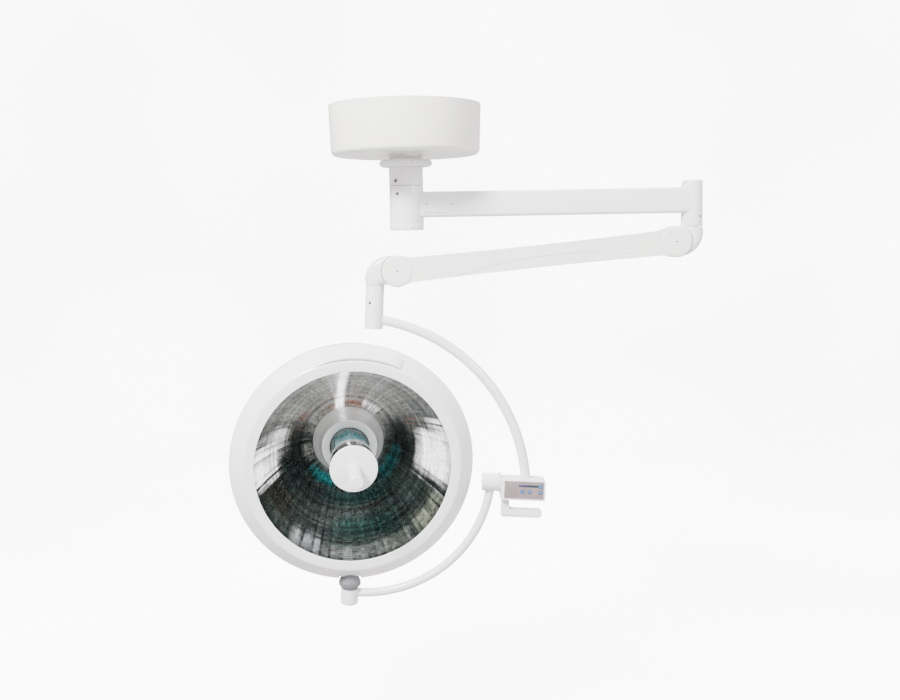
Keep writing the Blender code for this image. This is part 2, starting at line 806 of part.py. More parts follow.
def upper_elbow():
    axis = pivot("upper_elbow_axis", (ARM_REACH, 0, ELBOW_SEAM_Z))
    fork_elbow(
        "upper_elbow",
        axis,
        -SEAM / 2,
        END_HUB_RADIUS,
        UPPER_ELBOW_GROWTH,
        (-PIVOT_BACK, -PIVOT_DROP),
        UPPER_PIVOT,
        1,
        150,
        ELBOW_SPIGOT,
        ELBOW_SPIGOT_LENGTH,
    )


def lower_elbow(axis):
    """The lower casting leans with the yoke, but its pin and link bores stay level."""
    fork_elbow(
        "lower_elbow",
        axis,
        SEAM / 2,
        SOCKET_RADIUS,
        LOWER_ELBOW_GROWTH,
        (YOKE_PIVOT_BACK, YOKE_PIVOT_DROP),
        LOWER_PIVOT,
        -1,
        172,
        YOKE_SPIGOT,
        YOKE_SPIGOT_LENGTH,
    )


# ================================================================ spring arm
def casing_half(x, inset=0.0):
    """Half the casing's height at a distance x from its middle: waisted, swelling into round ends."""
    end = SPRING_ARM_LENGTH / 2
    share = min(abs(x) / end, 1.0)
    waist = CASING_MIDDLE_HALF + (CASING_END_HALF - CASING_MIDDLE_HALF) * share**2
    from_pivot = abs(abs(x) - end)
    circle = math.sqrt(max(HOUSING_RADIUS**2 - from_pivot**2, 0.0))
    soft = 0.004
    blend = (waist + circle + math.sqrt((waist - circle) ** 2 + soft**2)) / 2
    fade = min(max((HOUSING_RADIUS * 1.6 - from_pivot) / (HOUSING_RADIUS * 0.6), 0.0), 1.0)
    return waist + (blend - waist) * fade - inset


def casing_outline():
    """The casing's side view, from the upper pivot at x 0 to the lower pivot at x -SPRING_ARM_LENGTH."""
    length = SPRING_ARM_LENGTH
    near = HOUSING_RADIUS * 0.25
    places = [0.25, 0.45, 0.60, 0.72, 0.84, 0.98, 1.15, 1.40]
    run = [HOUSING_RADIUS * share for share in places]
    middle = [length * share for share in (0.18, 0.28, 0.39, 0.50)]
    run = run + middle
    run = run + [length - x for x in reversed(run[:-1])]
    top = [(-x, casing_half(length / 2 - x)) for x in run]
    turn = math.degrees(math.acos(near / HOUSING_RADIUS))
    left = arc((-length, 0), HOUSING_RADIUS, turn, 360 - turn, 14)[1:-1]
    right = arc((0, 0), HOUSING_RADIUS, 180 + turn, 540 - turn, 14)[1:-1]
    bottom = [(x, -z) for x, z in reversed(top)]
    return top + left + bottom + right


def cavity_outline():
    length = SPRING_ARM_LENGTH
    start = HOUSING_RADIUS + 0.018
    places = [start, 0.11, 0.20, 0.30, length / 2]
    places = places + [length - x for x in reversed(places[:-1])]
    top = [(-x, casing_half(length / 2 - x, CASING_WALL)) for x in places]
    return top + [(x, -z) for x, z in reversed(top)]


def lower_cover_region(gap):
    """The lens under the arched parting line, grown by gap."""
    middle = (LOWER_COVER_START + LOWER_COVER_END) / 2
    half = (LOWER_COVER_END - LOWER_COVER_START) / 2
    points = []
    for k in range(17):
        share = -1 + 2 * k / 16
        x = middle + share * half
        edge = -casing_half(SPRING_ARM_LENGTH / 2 - x)
        points.append((-x, edge * share**2 + gap))
    floor = -CASING_END_HALF * 1.6
    return points + [(-middle - half - gap, floor), (-middle + half + gap, floor)]


def casing_pieces(axis):
    cheek_slot = (TONGUE_HALF + FIT) * 2
    hollow = CASING_WIDTH - CASING_WALL * 2
    cavity = as_cutter(slab("casing_cavity", cavity_outline(), hollow), axis, STILL, UPRIGHT)
    casing = slab("spring_arm_casing", casing_outline(), CASING_WIDTH)
    hold(casing, axis, STILL, UPRIGHT)
    round_edges(casing, CASING_EDGE, 2, 60)
    lower = slab("spring_arm_lower_cover", casing_outline(), CASING_WIDTH)
    hold(lower, axis, STILL, UPRIGHT)
    round_edges(lower, CASING_EDGE, 2, 60)
    cut(casing, cavity)
    for label, x in (("upper", 0.0), ("lower", -SPRING_ARM_LENGTH)):
        inward = -1 if x == 0.0 else 1
        name = label + "_tongue_room"
        drill(casing, name, POCKET_RADIUS + 0.0005, cheek_slot, axis, (x, 0, 0), UPRIGHT, 40)
        passage = block(label + "_passage", (0.040, cheek_slot, CASING_MIDDLE_HALF * 1.7))
        cut(casing, as_cutter(passage, axis, (x + inward * 0.055, 0, 0), STILL))
        name = label + "_casing_pin_bore"
        drill(casing, name, PIN_RADIUS + FIT, CASING_WIDTH * 1.2, axis, (x, 0, 0), UPRIGHT, 20)
    wide = CASING_WIDTH * 1.5
    room = slab("lower_cover_room", lower_cover_region(FIT), wide)
    cut(casing, as_cutter(room, axis, STILL, UPRIGHT))
    finished(casing, enamel())
    lens = slab("lower_cover_lens", lower_cover_region(0.0), wide)
    keep_inside(lower, as_cutter(lens, axis, STILL, UPRIGHT))
    cut(lower, cavity)
    finished(lower, enamel())


def pivot_pins(axis):
    """Each pin has a broad round head at the back and takes a loose disc cover at the front."""
    face = CASING_WIDTH / 2 + FIT
    for label, x in (("upper", 0.0), ("lower", -SPRING_ARM_LENGTH)):
        corners = [
            (0, face + DISC_THICKNESS),
            (DISC_RADIUS - 0.002, face + DISC_THICKNESS * 0.8),
            (DISC_RADIUS, face + DISC_THICKNESS * 0.3),
            (DISC_RADIUS, face),
            (PIN_RADIUS, face),
            (PIN_RADIUS, -face + FIT),
            (0, -face + FIT),
        ]
        pin = turned(label + "_pivot_pin", corners, 28)
        paint(hold(pin, axis, (x, 0, 0), (-math.pi / 2, 0, 0)), enamel())
        lid = [(radius, height - face) for radius, height in corners[:4]] + [(0, 0)]
        disc = turned(label + "_pivot_disc", lid, 28)
        paint(hold(disc, axis, (x, -face, 0), UPRIGHT), enamel())


def balance_spring(axis):
    per_turn = 8
    start = -SEAT_FROM_PIVOT - SEAT_THICKNESS - SPRING_WIRE - FIT
    count = SPRING_TURNS * per_turn
    path = []
    for k in range(count + 1):
        turn = math.tau * k / per_turn
        x = start - SPRING_LENGTH * k / count
        path.append((x, SPRING_RADIUS * math.cos(turn), SPRING_LIFT + SPRING_RADIUS * math.sin(turn)))
    coil = hold(rod("balance_spring", path, SPRING_WIRE, 4), axis, STILL, STILL)
    paint(coil, material("spring_steel", (0.30, 0.31, 0.33), 0.35, 1.0))
    end = start - SPRING_LENGTH - SPRING_WIRE - FIT - 0.010
    near = -HOUSING_RADIUS - 0.030
    corners = [
        (0, near),
        (ROD_RADIUS, near),
        (ROD_RADIUS, end + 0.010),
        (SPRING_RADIUS + SPRING_WIRE, end + 0.010),
        (SPRING_RADIUS + SPRING_WIRE, end),
        (0, end),
    ]
    guide = turned("spring_guide_rod", corners, 14)
    paint(hold(guide, axis, (0, 0, SPRING_LIFT), ALONG_X), steel())
    high = casing_half(SPRING_ARM_LENGTH / 2 - SEAT_FROM_PIVOT, CASING_WALL) - FIT - 0.001
    low = SPRING_LIFT - SPRING_RADIUS - SPRING_WIRE
    wide = CASING_WIDTH - CASING_WALL * 2 - FIT * 2
    seat = block("spring_seat", (SEAT_THICKNESS, wide, high - low))
    hold(seat, axis, (-SEAT_FROM_PIVOT - SEAT_THICKNESS / 2, 0, (high + low) / 2), STILL)
    place = (-SEAT_FROM_PIVOT, 0, SPRING_LIFT)
    drill(seat, "seat_bore", ROD_RADIUS + FIT, SEAT_THICKNESS * 4, axis, place, ALONG_X, 14)
    finished(seat, zinc())


def level_link():
    """The rod that keeps the lower elbow level, with its two shouldered pins."""
    slope = math.radians(SPRING_ARM_SLOPE)
    axis = pivot("link_axis", (UPPER_PIVOT[0], 0, UPPER_PIVOT[1] - LINK_OFFSET), (0, -slope, 0))
    half = LINK_HEIGHT / 2
    right = arc((0, 0), half, -90, 90, 8)
    left = arc((-SPRING_ARM_LENGTH, 0), half, 90, 270, 8)
    link = hold(slab("level_link", right + left, LINK_THICKNESS), axis, STILL, UPRIGHT)
    for label, x in (("upper", 0.0), ("lower", -SPRING_ARM_LENGTH)):
        pin = cylinder(label + "_link_pin", LINK_PIN, TONGUE_HALF * 2 - FIT * 2, 12)
        join(link, as_cutter(pin, axis, (x, 0, 0), UPRIGHT))
    finished(link, steel())


def spring_arm():
    slope = math.radians(SPRING_ARM_SLOPE)
    axis = pivot("spring_arm_axis", (UPPER_PIVOT[0], 0, UPPER_PIVOT[1]), (0, -slope, 0))
    casing_pieces(axis)
    pivot_pins(axis)
    balance_spring(axis)


# ================================================================ upper yoke
def yoke_socket(axis):
    top = -SEAM / 2
    corners = [
        (0, -SOCKET_LENGTH + SOCKET_WALL),
        (SOCKET_BORE, -SOCKET_LENGTH + SOCKET_WALL),
        (SOCKET_BORE, top),
        (SOCKET_RADIUS, top, 0.001),
        (SOCKET_RADIUS, -SOCKET_LENGTH, 0.0015),
        (0, -SOCKET_LENGTH),
    ]
    socket = turned("yoke_socket", rounded(corners, 1), 28)
    paint(hold(socket, axis, STILL, STILL), enamel())


def upper_yoke_tube(axis):
    drop = BOX_TOP - UPPER_ARC_CENTRE[1] - OVERCUT
    start = math.degrees(math.asin(drop / UPPER_ARC_RADIUS))
    end = math.degrees(math.acos((SOCKET_RADIUS * 0.6 - UPPER_ARC_CENTRE[0]) / UPPER_ARC_RADIUS))
    path = [(x, 0, z) for x, z in arc(UPPER_ARC_CENTRE, UPPER_ARC_RADIUS, start, end, 16)]
    tube = hold(rod("upper_yoke_tube", path, UPPER_TUBE_RADIUS, 12), axis, STILL, STILL)
    tall = SOCKET_LENGTH * 2
    place = (0, 0, -SOCKET_LENGTH)
    drill(tube, "socket_room", SOCKET_RADIUS + FIT, tall, axis, place, segments=32)
    room = block("box_top_room", (BOX_WIDTH, BOX_DEPTH, 0.04))
    place = (BOX_LEFT + BOX_WIDTH / 2, 0, BOX_TOP + FIT - 0.02)
    cut(tube, as_cutter(room, axis, place, STILL))
    finished(tube, enamel())


def box_outline(inset):
    left = BOX_LEFT + inset
    right = BOX_LEFT + BOX_WIDTH - inset
    top = BOX_TOP - inset
    bottom = BOX_TOP - BOX_HEIGHT + inset
    small = 0.0035 - inset * 0.6
    corners = [
        (left, bottom, small),
        (right, bottom, small),
        (right, top, BOX_CORNER - inset),
        (left, top, small),
    ]
    return rounded(corners, 3)


def panel_place(across, down):
    """A point on the panel, from its upper left corner."""
    return PANEL_LEFT + across, PANEL_TOP - down


def control_box(axis):
    shell = hold(slab("control_box_shell", box_outline(0), BOX_DEPTH), axis, STILL, UPRIGHT)
    round_edges(shell, 0.002, 2, 60)
    hollow = slab("box_hollow", box_outline(BOX_WALL), BOX_DEPTH - BOX_WALL * 2)
    cut(shell, as_cutter(hollow, axis, STILL, UPRIGHT))
    middle = panel_place(PANEL_WIDTH / 2, PANEL_HEIGHT / 2)
    window = block("panel_window", (PANEL_WIDTH + FIT * 2, BOX_WALL * 4, PANEL_HEIGHT + FIT * 2))
    cut(shell, as_cutter(window, axis, (middle[0], BOX_FRONT, middle[1]), STILL))
    place = (BOX_LEFT, 0, STUB_AXIS)
    drill(shell, "box_shaft_hole", TILT_SHAFT + FIT, BOX_WALL * 4, axis, place, ALONG_X, 24)
    finished(shell, white_plastic())
    panel = block("control_panel", (PANEL_WIDTH, PANEL_THICKNESS, PANEL_HEIGHT))
    hold(panel, axis, (middle[0], PANEL_FACE + PANEL_THICKNESS / 2, middle[1]), STILL)
    for name, (across, down) in BUTTONS.items():
        x, z = panel_place(across, down)
        radius = BUTTON_RADIUS + FIT
        deep = PANEL_THICKNESS * 4
        drill(panel, name + "_hole", radius, deep, axis, (x, PANEL_FACE, z), UPRIGHT, 20)
    x, z = panel_place(*DISPLAY_PLACE)
    room = (DISPLAY_WIDTH + FIT * 2, PANEL_THICKNESS * 4, DISPLAY_HEIGHT + FIT * 2)
    cut(panel, as_cutter(block("display_window", room), axis, (x, PANEL_FACE, z), STILL))
    finished(panel, material("panel_film", (0.42, 0.36, 0.37), 0.35))
    strip = block("brightness_display", (DISPLAY_WIDTH, PANEL_THICKNESS, DISPLAY_HEIGHT))
    hold(strip, axis, (x, PANEL_FACE + PANEL_THICKNESS / 2 + 0.0002, z), STILL)
    paint(strip, material("display_window_film", (0.03, 0.09, 0.10), 0.15))
    board = block("control_board", (PANEL_WIDTH * 0.92, 0.0016, PANEL_HEIGHT * 0.9))
    hold(board, axis, (middle[0], PANEL_FACE + 0.012, middle[1]), STILL)
    paint(board, material("circuit_board", (0.03, 0.20, 0.09), 0.5))


BUTTONS = {
    "power_button": (0.1030, 0.0128),
    "dimmer_down_button": (0.0512, 0.0288),
    "dimmer_up_button": (0.0720, 0.0292),
    "lamp_select_button": (0.1030, 0.0296),
}
DISPLAY_PLACE = (0.0685, 0.0128)


def panel_buttons(axis):
    """Each button is a capped plunger with a flange behind the panel."""
    for name, (across, down) in BUTTONS.items():
        x, z = panel_place(across, down)
        face = BUTTON_PROUD
        behind = -(PANEL_THICKNESS + FIT)
        wide = BUTTON_RADIUS + BUTTON_FLANGE
        corners = [
            (0, face),
            (BUTTON_RADIUS, face, 0.0006),
            (BUTTON_RADIUS, behind),
            (wide, behind),
            (wide, behind - 0.0012),
            (0, behind - 0.0012),
        ]
        key = turned(name, rounded(corners, 1), 16)
        paint(hold(key, axis, (x, PANEL_FACE, z), UPRIGHT), material("button_blue", (0.02, 0.16, 0.50), 0.3))


def box_grip(axis):
    top = BOX_TOP - BOX_HEIGHT - FIT
    upper = top - FINGER_GAP
    lower = upper - GRIP_THICKNESS
    left = BOX_LEFT + GRIP_MARGIN
    stem = left + GRIP_STEM
    right = left + GRIP_LENGTH
    dips = []
    count = 3
    start = stem + 0.010
    pitch = (right - 0.012 - start) / count
    for k in range(count):
        first = start + pitch * k
        dips += [
            (first + pitch * share, upper - 0.0012 * math.sin(math.pi * share))
            for share in (0.0, 0.25, 0.5, 0.75)
        ]
    dips = [(x, z) for x, z in reversed(dips)]
    outline = rounded(
        [
            (left, lower, 0.004),
            (right, lower, 0.008),
            (right, upper, 0.008),
            *dips,
            (stem, upper, 0.002),
            (stem, top),
            (left, top),
        ],
        3,
    )
    grip = hold(slab("box_grip", outline, GRIP_DEPTH), axis, STILL, UPRIGHT)
    round_edges(grip, 0.006, 2, 60)
    finished(grip, white_plastic())


def swivel_ring(axis):
    bore = TILT_SHAFT + FIT
    half = RING_WIDTH / 2
    corners = [
        (bore, half),
        (RING_RADIUS, half, 0.002),
        (RING_RADIUS, -half, 0.002),
        (bore, -half),
    ]
    ring = turned("swivel_ring", rounded(corners, 1), 28, closed=True)
    place = (BOX_LEFT - FIT - half, 0, STUB_AXIS)
    paint(hold(ring, axis, place, ALONG_X), enamel())


# ================================================================ lower yoke
def swivel_stub(axis):
    right = BOX_LEFT - RING_WIDTH - FIT * 2
    inside = BOX_LEFT + TILT_SHAFT_IN_BOX
    corners = [
        (0, inside),
        (TILT_SHAFT, inside, 0.001),
        (TILT_SHAFT, right),
        (STUB_RADIUS, right, 0.001),
        (STUB_RADIUS, STUB_LEFT, STUB_EDGE),
        (0, STUB_LEFT),
    ]
    stub = turned("swivel_stub", rounded(corners, 1), 28)
    paint(hold(stub, axis, STILL, ALONG_X), enamel())


def lower_yoke_tube(axis):
    start = -math.degrees(math.asin((LOWER_ARC_CENTRE[1] + STUB_RADIUS * 0.5) / LOWER_ARC_RADIUS))
    side = HEAD_X + FOOT_RADIUS * 0.5
    end = -math.degrees(math.acos((side - LOWER_ARC_CENTRE[0]) / LOWER_ARC_RADIUS))
    path = [(x, 0, z) for x, z in arc(LOWER_ARC_CENTRE, LOWER_ARC_RADIUS, start, end, 16)]
    tube = hold(rod("lower_yoke_tube", path, LOWER_TUBE_RADIUS, 12), axis, STILL, STILL)
    place = ((STUB_LEFT + BOX_LEFT) / 2, 0, 0)
    drill(tube, "stub_room", STUB_RADIUS + FIT, 0.12, axis, place, ALONG_X, 32)
    place = (HEAD_X, 0, FOOT_TOP - FOOT_HEIGHT / 2)
    drill(tube, "foot_room", FOOT_RADIUS + FIT, FOOT_HEIGHT * 2, axis, place, segments=32)
    finished(tube, enamel())


def head_foot(axis):
    top = FOOT_TOP - SEAM / 2
    corners = [
        (0, top + FOOT_SPINDLE_LENGTH),
        (FOOT_SPINDLE, top + FOOT_SPINDLE_LENGTH, 0.001),
        (FOOT_SPINDLE, top),
        (FOOT_RADIUS, top),
        (FOOT_RADIUS, top - FOOT_HEIGHT, FOOT_EDGE),
        (0, top - FOOT_HEIGHT),
    ]
    foot = turned("head_foot", rounded(corners, 2), 28)
    paint(hold(foot, axis, (HEAD_X, 0, 0), STILL), enamel())


# ================================================================ lamp head
def pivot_barrel(head_axis):
    """A belted barrel under the rim, with a slimmer neck that runs up inside it."""
    bore = FOOT_SPINDLE + FIT * 2
    bottom = FOOT_TOP + SEAM / 2
    belt = bottom + BARREL_TAPER + BARREL_BELT
    corners = [
        (bore, BARREL_TOP),
        (BARREL_NECK, BARREL_TOP),
        (BARREL_NECK, bottom + BARREL_HEIGHT),
        (BARREL_RADIUS, belt, 0.003),
        (BARREL_RADIUS, belt - BARREL_BELT, 0.003),
        (BARREL_FOOT, bottom),
        (bore, bottom),
    ]
    barrel = turned("pivot_barrel", rounded(corners, 2), 28, closed=True)
    paint(hold(barrel, head_axis, STILL, STILL), grey_plastic())


def cut_barrel_room(piece, head_axis):
    """Clears the pivot barrel out of the rim or the housing."""
    height = 0.20
    tops = {"neck": (BARREL_NECK, BARREL_TOP), "belt": (BARREL_RADIUS, FOOT_TOP + BARREL_HEIGHT)}
    for label, (radius, top) in tops.items():
        name = f"{piece.name}_{label}_room"
        place = (0, 0, top + SEAM - height / 2)
        drill(piece, name, radius + FIT, height, head_axis, place, segments=36)


def front_rim(axis, head_axis):
    wall = RIM_WALL
    slant = wall * 1.15
    corners = [
        (OPENING_RADIUS, RIM_FRONT, 0.001),
        (RIM_FLAT_OUTER, RIM_FRONT, 0.004),
        (RIM_RADIUS, 0.003, 0.006),
        (RIM_RADIUS - 0.003, -RIM_LIP),
        (RIM_RADIUS - 0.003 - wall, -RIM_LIP),
        (RIM_RADIUS - slant, 0.001),
        (RIM_FLAT_OUTER - wall * 0.5, RIM_FRONT - wall),
        (OPENING_RADIUS, RIM_FRONT - wall),
    ]
    rim = turned("front_rim", rounded(corners, 1), 48, closed=True)
    hold(rim, axis, STILL, STILL)
    cut_barrel_room(rim, head_axis)
    finished(rim, enamel())


def rim_grip(axis):
    """A raised hand bar along the top of the rim's bevel, undercut towards the opening."""
    slope = Vector((RIM_RADIUS - RIM_FLAT_OUTER, 0.003 - RIM_FRONT)).normalized()
    out = Vector((-slope.y, slope.x))
    root = Vector((RIM_FLAT_OUTER, RIM_FRONT))
    section = [(0.0085, 0.0006), (0.0030, 0.0045), (0.0050, 0.0085), (0.0200, GRIP_PROUD * 1.05)]
    section += [(0.0400, GRIP_PROUD * 0.6), (0.0520, 0.0006)]
    steps = 20
    shape = bmesh.new()
    rings = []
    for k in range(steps + 1):
        share = -1 + 2 * k / steps
        angle = math.radians(90 + share * GRIP_ARC)
        fade = math.sqrt(max(1 - abs(share) ** 5, 0.02))
        ring = []
        for along, proud in section:
            place = root + slope * along + out * (FIT + proud * fade)
            spot = (place.x * math.cos(angle), place.x * math.sin(angle), place.y)
            ring.append(shape.verts.new(spot))
        rings.append(ring)
    for first, second in zip(rings, rings[1:]):
        for k in range(len(section)):
            after = (k + 1) % len(section)
            shape.faces.new((first[k], first[after], second[after], second[k]))
    shape.faces.new(rings[0])
    shape.faces.new(rings[-1])
    bmesh.ops.recalc_face_normals(shape, faces=shape.faces)
    mesh = bpy.data.meshes.new("rim_grip")
    shape.to_mesh(mesh)
    shape.free()
    bar = hold(bpy.data.objects.new("rim_grip", mesh), axis, STILL, STILL)
    paint(bar, enamel())


def rear_housing(axis, head_axis):
    edge = RIM_RADIUS - 0.003 - RIM_WALL - 0.003
    shoulder = -RIM_LIP - 0.010

    def dome(wall):
        radius = edge - wall
        depth = HOUSING_DEPTH + shoulder - wall
        turns = [math.radians(90 * k / 7) for k in range(8)]
        power = 2 / 2.3
        return [
            (radius * math.cos(a) ** power, shoulder - depth * math.sin(a) ** power)
            for a in turns[:-1]
        ] + [(0, shoulder - depth)]

    front = -0.006
    profile = [(edge, front)] + dome(0) + dome(HOUSING_WALL)[::-1] + [(edge - HOUSING_WALL, front)]
    housing = turned("rear_housing", profile, 36, closed=True)
    hold(housing, axis, STILL, STILL)
    cut_barrel_room(housing, head_axis)
    finished(housing, enamel())


def mirror_depth(radius):
    share = max(radius - APEX_RADIUS, 0.0) / (OPENING_RADIUS - APEX_RADIUS)
    return -APEX_DEPTH + (MIRROR_EDGE + APEX_DEPTH) * share**MIRROR_POWER


def reflector(axis):
    steps = 8
    width = OPENING_RADIUS - APEX_RADIUS
    radii = [OPENING_RADIUS - width * (k / steps) ** 1.3 for k in range(steps + 1)]
    front = [(r, mirror_depth(r)) for r in radii]
    back = [(r + MIRROR_WALL, mirror_depth(r) - MIRROR_WALL) for r in radii]
    profile = back + front[::-1]
    bowl = turned("reflector", profile, 36, closed=True)
    paint(hold(bowl, axis, STILL, STILL), chrome())


def front_glass(axis):
    outer = OPENING_RADIUS + 0.005
    inner = BAND_RADIUS + 0.001
    profile = [(outer, GLASS_FRONT), (outer, GLASS_BACK), (inner, GLASS_BACK), (inner, GLASS_FRONT)]
    pane = turned("front_glass", profile, 40, closed=True)
    paint(hold(pane, axis, STILL, STILL), material("clear_glass", (0.9, 0.95, 0.94), 0.03, 0.0, 0.15))


def reflector_cone(axis):
    top = -APEX_DEPTH + CONE_HEIGHT
    outer = APEX_RADIUS - FIT * 2
    base = -APEX_DEPTH - 0.006
    corners = [
        (CONE_BORE, top),
        (CONE_TOP_RADIUS, top, 0.002),
        (CONE_TOP_RADIUS + 0.002, top - 0.028),
        (CONE_TOP_RADIUS + 0.008, top - 0.048),
        (outer, -APEX_DEPTH + 0.004, 0.001),
        (outer, base),
        (CONE_BORE, base),
    ]
    cone = turned("reflector_cone", rounded(corners, 1), 32, closed=True)
    paint(hold(cone, axis, STILL, STILL), material("satin_silver", (0.78, 0.79, 0.80), 0.25, 0.8))


def heat_glass(axis):
    back = -APEX_DEPTH + CONE_HEIGHT - 0.003
    front = BAND_BACK - FIT
    inner = HEX_RADIUS - HEX_WALL
    profile = [(HEX_RADIUS, front), (HEX_RADIUS, back), (inner, back), (inner, front)]
    prism = turned("heat_glass", profile, 6, closed=True)
    hold(prism, axis, STILL, (0, 0, math.pi / 2))
    paint(prism, material("teal_glass", (0.10, 0.55, 0.58), 0.05, 0.0, 0.5))


def lamp_cage(axis):
    """Six posts on the prism's corners carry the band and the handle from the cone."""
    back = -APEX_DEPTH + CONE_HEIGHT - 0.010
    inner = HEX_RADIUS + FIT * 2
    outer = CONE_BORE - FIT
    middle = (inner + outer) / 2
    foot = [(outer, back + 0.004), (outer, back), (inner, back), (inner, back + 0.004)]
    cage = hold(turned("lamp_cage", foot, 36, closed=True), axis, STILL, STILL)
    front = BAND_BACK + 0.006
    head = [(outer, front + 0.003), (outer, front), (inner, front), (inner, front + 0.003)]
    join(cage, as_cutter(turned("cage_head", head, 36, closed=True), axis, STILL, STILL))
    length = front - back
    for k in range(6):
        turn = math.radians(90 + 60 * k)
        post = cylinder(f"cage_post_{k + 1}", 0.0015, length, 6)
        place = (middle * math.cos(turn), middle * math.sin(turn), back + 0.0015 + length / 2)
        join(cage, as_cutter(post, axis, place, STILL))
    finished(cage, material("dark_steel", (0.14, 0.15, 0.16), 0.35, 1.0))


def chrome_band(axis):
    inner = BAND_RADIUS - BAND_WALL
    corners = [
        (BAND_RADIUS, BAND_FRONT),
        (BAND_RADIUS, BAND_BACK),
        (inner, BAND_BACK),
        (inner, BAND_FRONT),
    ]
    band = turned("chrome_band", corners, 36, closed=True)
    paint(hold(band, axis, STILL, STILL), chrome())


def centre_disc(axis):
    bore = SPINDLE_SHANK + FIT
    corners = [
        (bore, DISC_FRONT),
        (CENTRE_DISC_RADIUS, DISC_FRONT, 0.002),
        (CENTRE_DISC_RADIUS, DISC_BACK, 0.001),
        (bore, DISC_BACK),
    ]
    disc = turned("centre_disc", rounded(corners, 1), 36, closed=True)
    paint(hold(disc, axis, STILL, STILL), enamel())


def handle_pieces(axis):
    root = DISC_FRONT + SEAM
    pocket = root + HANDLE_BORE_DEPTH
    corners = [
        (0, HANDLE_TIP),
        (HANDLE_RADIUS, HANDLE_TIP, 0.003),
        (HANDLE_RADIUS, root, 0.001),
        (HANDLE_BORE, root),
        (HANDLE_BORE, pocket),
        (0, pocket),
    ]
    handle = turned("sterile_handle", rounded(corners, 2), 24)
    paint(hold(handle, axis, STILL, STILL), white_plastic())
    corners = [
        (0, pocket - FIT * 2),
        (SPINDLE_SHANK, pocket - FIT * 2),
        (SPINDLE_SHANK, DISC_BACK - 0.004),
        (SCREW_SHANK, DISC_BACK - 0.004),
        (SCREW_SHANK, CARRIER_BACK + 0.016),
        (0, CARRIER_BACK + 0.016),
    ]
    spindle = turned("handle_spindle", corners, 20)
    paint(hold(spindle, axis, STILL, STILL), steel())


def bulb_pieces(axis):
    """The carrier runs on the handle's screw; a blind bore leaves the screw room to travel."""
    bore = SCREW_SHANK + FIT
    floor = CARRIER_BACK + 0.003
    corners = [
        (0, floor),
        (bore, floor),
        (bore, CARRIER_FRONT),
        (CARRIER_RADIUS, CARRIER_FRONT, 0.002),
        (CARRIER_RADIUS, CARRIER_BACK, 0.002),
        (0, CARRIER_BACK),
    ]
    carrier = turned("bulb_carrier", rounded(corners, 1), 24)
    paint(hold(carrier, axis, STILL, STILL), material("ceramic", (0.80, 0.79, 0.75), 0.5))
    top = CARRIER_BACK - FIT
    corners = [
        (0, top),
        (BULB_RADIUS * 0.8, top),
        (BULB_RADIUS * 0.8, top - 0.008),
        (BULB_RADIUS, top - 0.010),
        (BULB_RADIUS, top - BULB_LENGTH, 0.005),
        (0, top - BULB_LENGTH),
    ]
    bulb = turned("halogen_bulb", rounded(corners, 3), 16)
    paint(hold(bulb, axis, STILL, STILL), material("quartz", (0.9, 0.92, 0.95), 0.05, 0.0, 0.4))


# ================================================================ the whole light
def build():
    clear_scene()
    ceiling_plate()
    cable_gland()
    canopy()
    collar_halves()
    ceiling_post()
    transformer()
    swivel_spindle()
    arm_hub()
    hub_bottom_cap()
    hub_bearings()
    horizontal_arm_tube()
    arm_access_cover()
    arm_end_hub()
    spigot_room = END_HUB_BORE - FIT
    bush("end_hub_bush", spigot_room, ELBOW_SPIGOT + FIT, ELBOW_SEAM_Z + 0.085, 0.080, ARM_REACH)
    upper_elbow()
    spring_arm()
    level_link()
    yoke_axis = pivot("yoke_axis", (YOKE_X, 0, YOKE_Z), (0, LEAN, 0))
    lower_elbow(yoke_axis)
    yoke_socket(yoke_axis)
    bush("yoke_bush", SOCKET_BORE - FIT, YOKE_SPIGOT + FIT, -0.004, 0.075, 0, yoke_axis)
    upper_yoke_tube(yoke_axis)
    control_box(yoke_axis)
    panel_buttons(yoke_axis)
    box_grip(yoke_axis)
    swivel_ring(yoke_axis)
    tilt_axis = pivot("tilt_axis", (0, 0, STUB_AXIS), (math.radians(TILT), 0, 0), yoke_axis)
    swivel_stub(tilt_axis)
    lower_yoke_tube(tilt_axis)
    head_foot(tilt_axis)
    head_axis = pivot("head_axis", (HEAD_X, 0, 0), (0, 0, math.radians(HEAD_TURN)), tilt_axis)
    lamp_axis = pivot("lamp_axis", (0, 0, HEAD_RISE), UPRIGHT, head_axis)
    pivot_barrel(head_axis)
    front_rim(lamp_axis, head_axis)
    rim_grip(lamp_axis)
    rear_housing(lamp_axis, head_axis)
    reflector(lamp_axis)
    front_glass(lamp_axis)
    reflector_cone(lamp_axis)
    heat_glass(lamp_axis)
    lamp_cage(lamp_axis)
    chrome_band(lamp_axis)
    centre_disc(lamp_axis)
    handle_pieces(lamp_axis)
    bulb_pieces(lamp_axis)


build()
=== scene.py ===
"""The finished look of a ceiling-mounted operating light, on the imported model's bodies."""

import json
import math

import bmesh
import bpy
from mathutils import Euler, Matrix, Vector


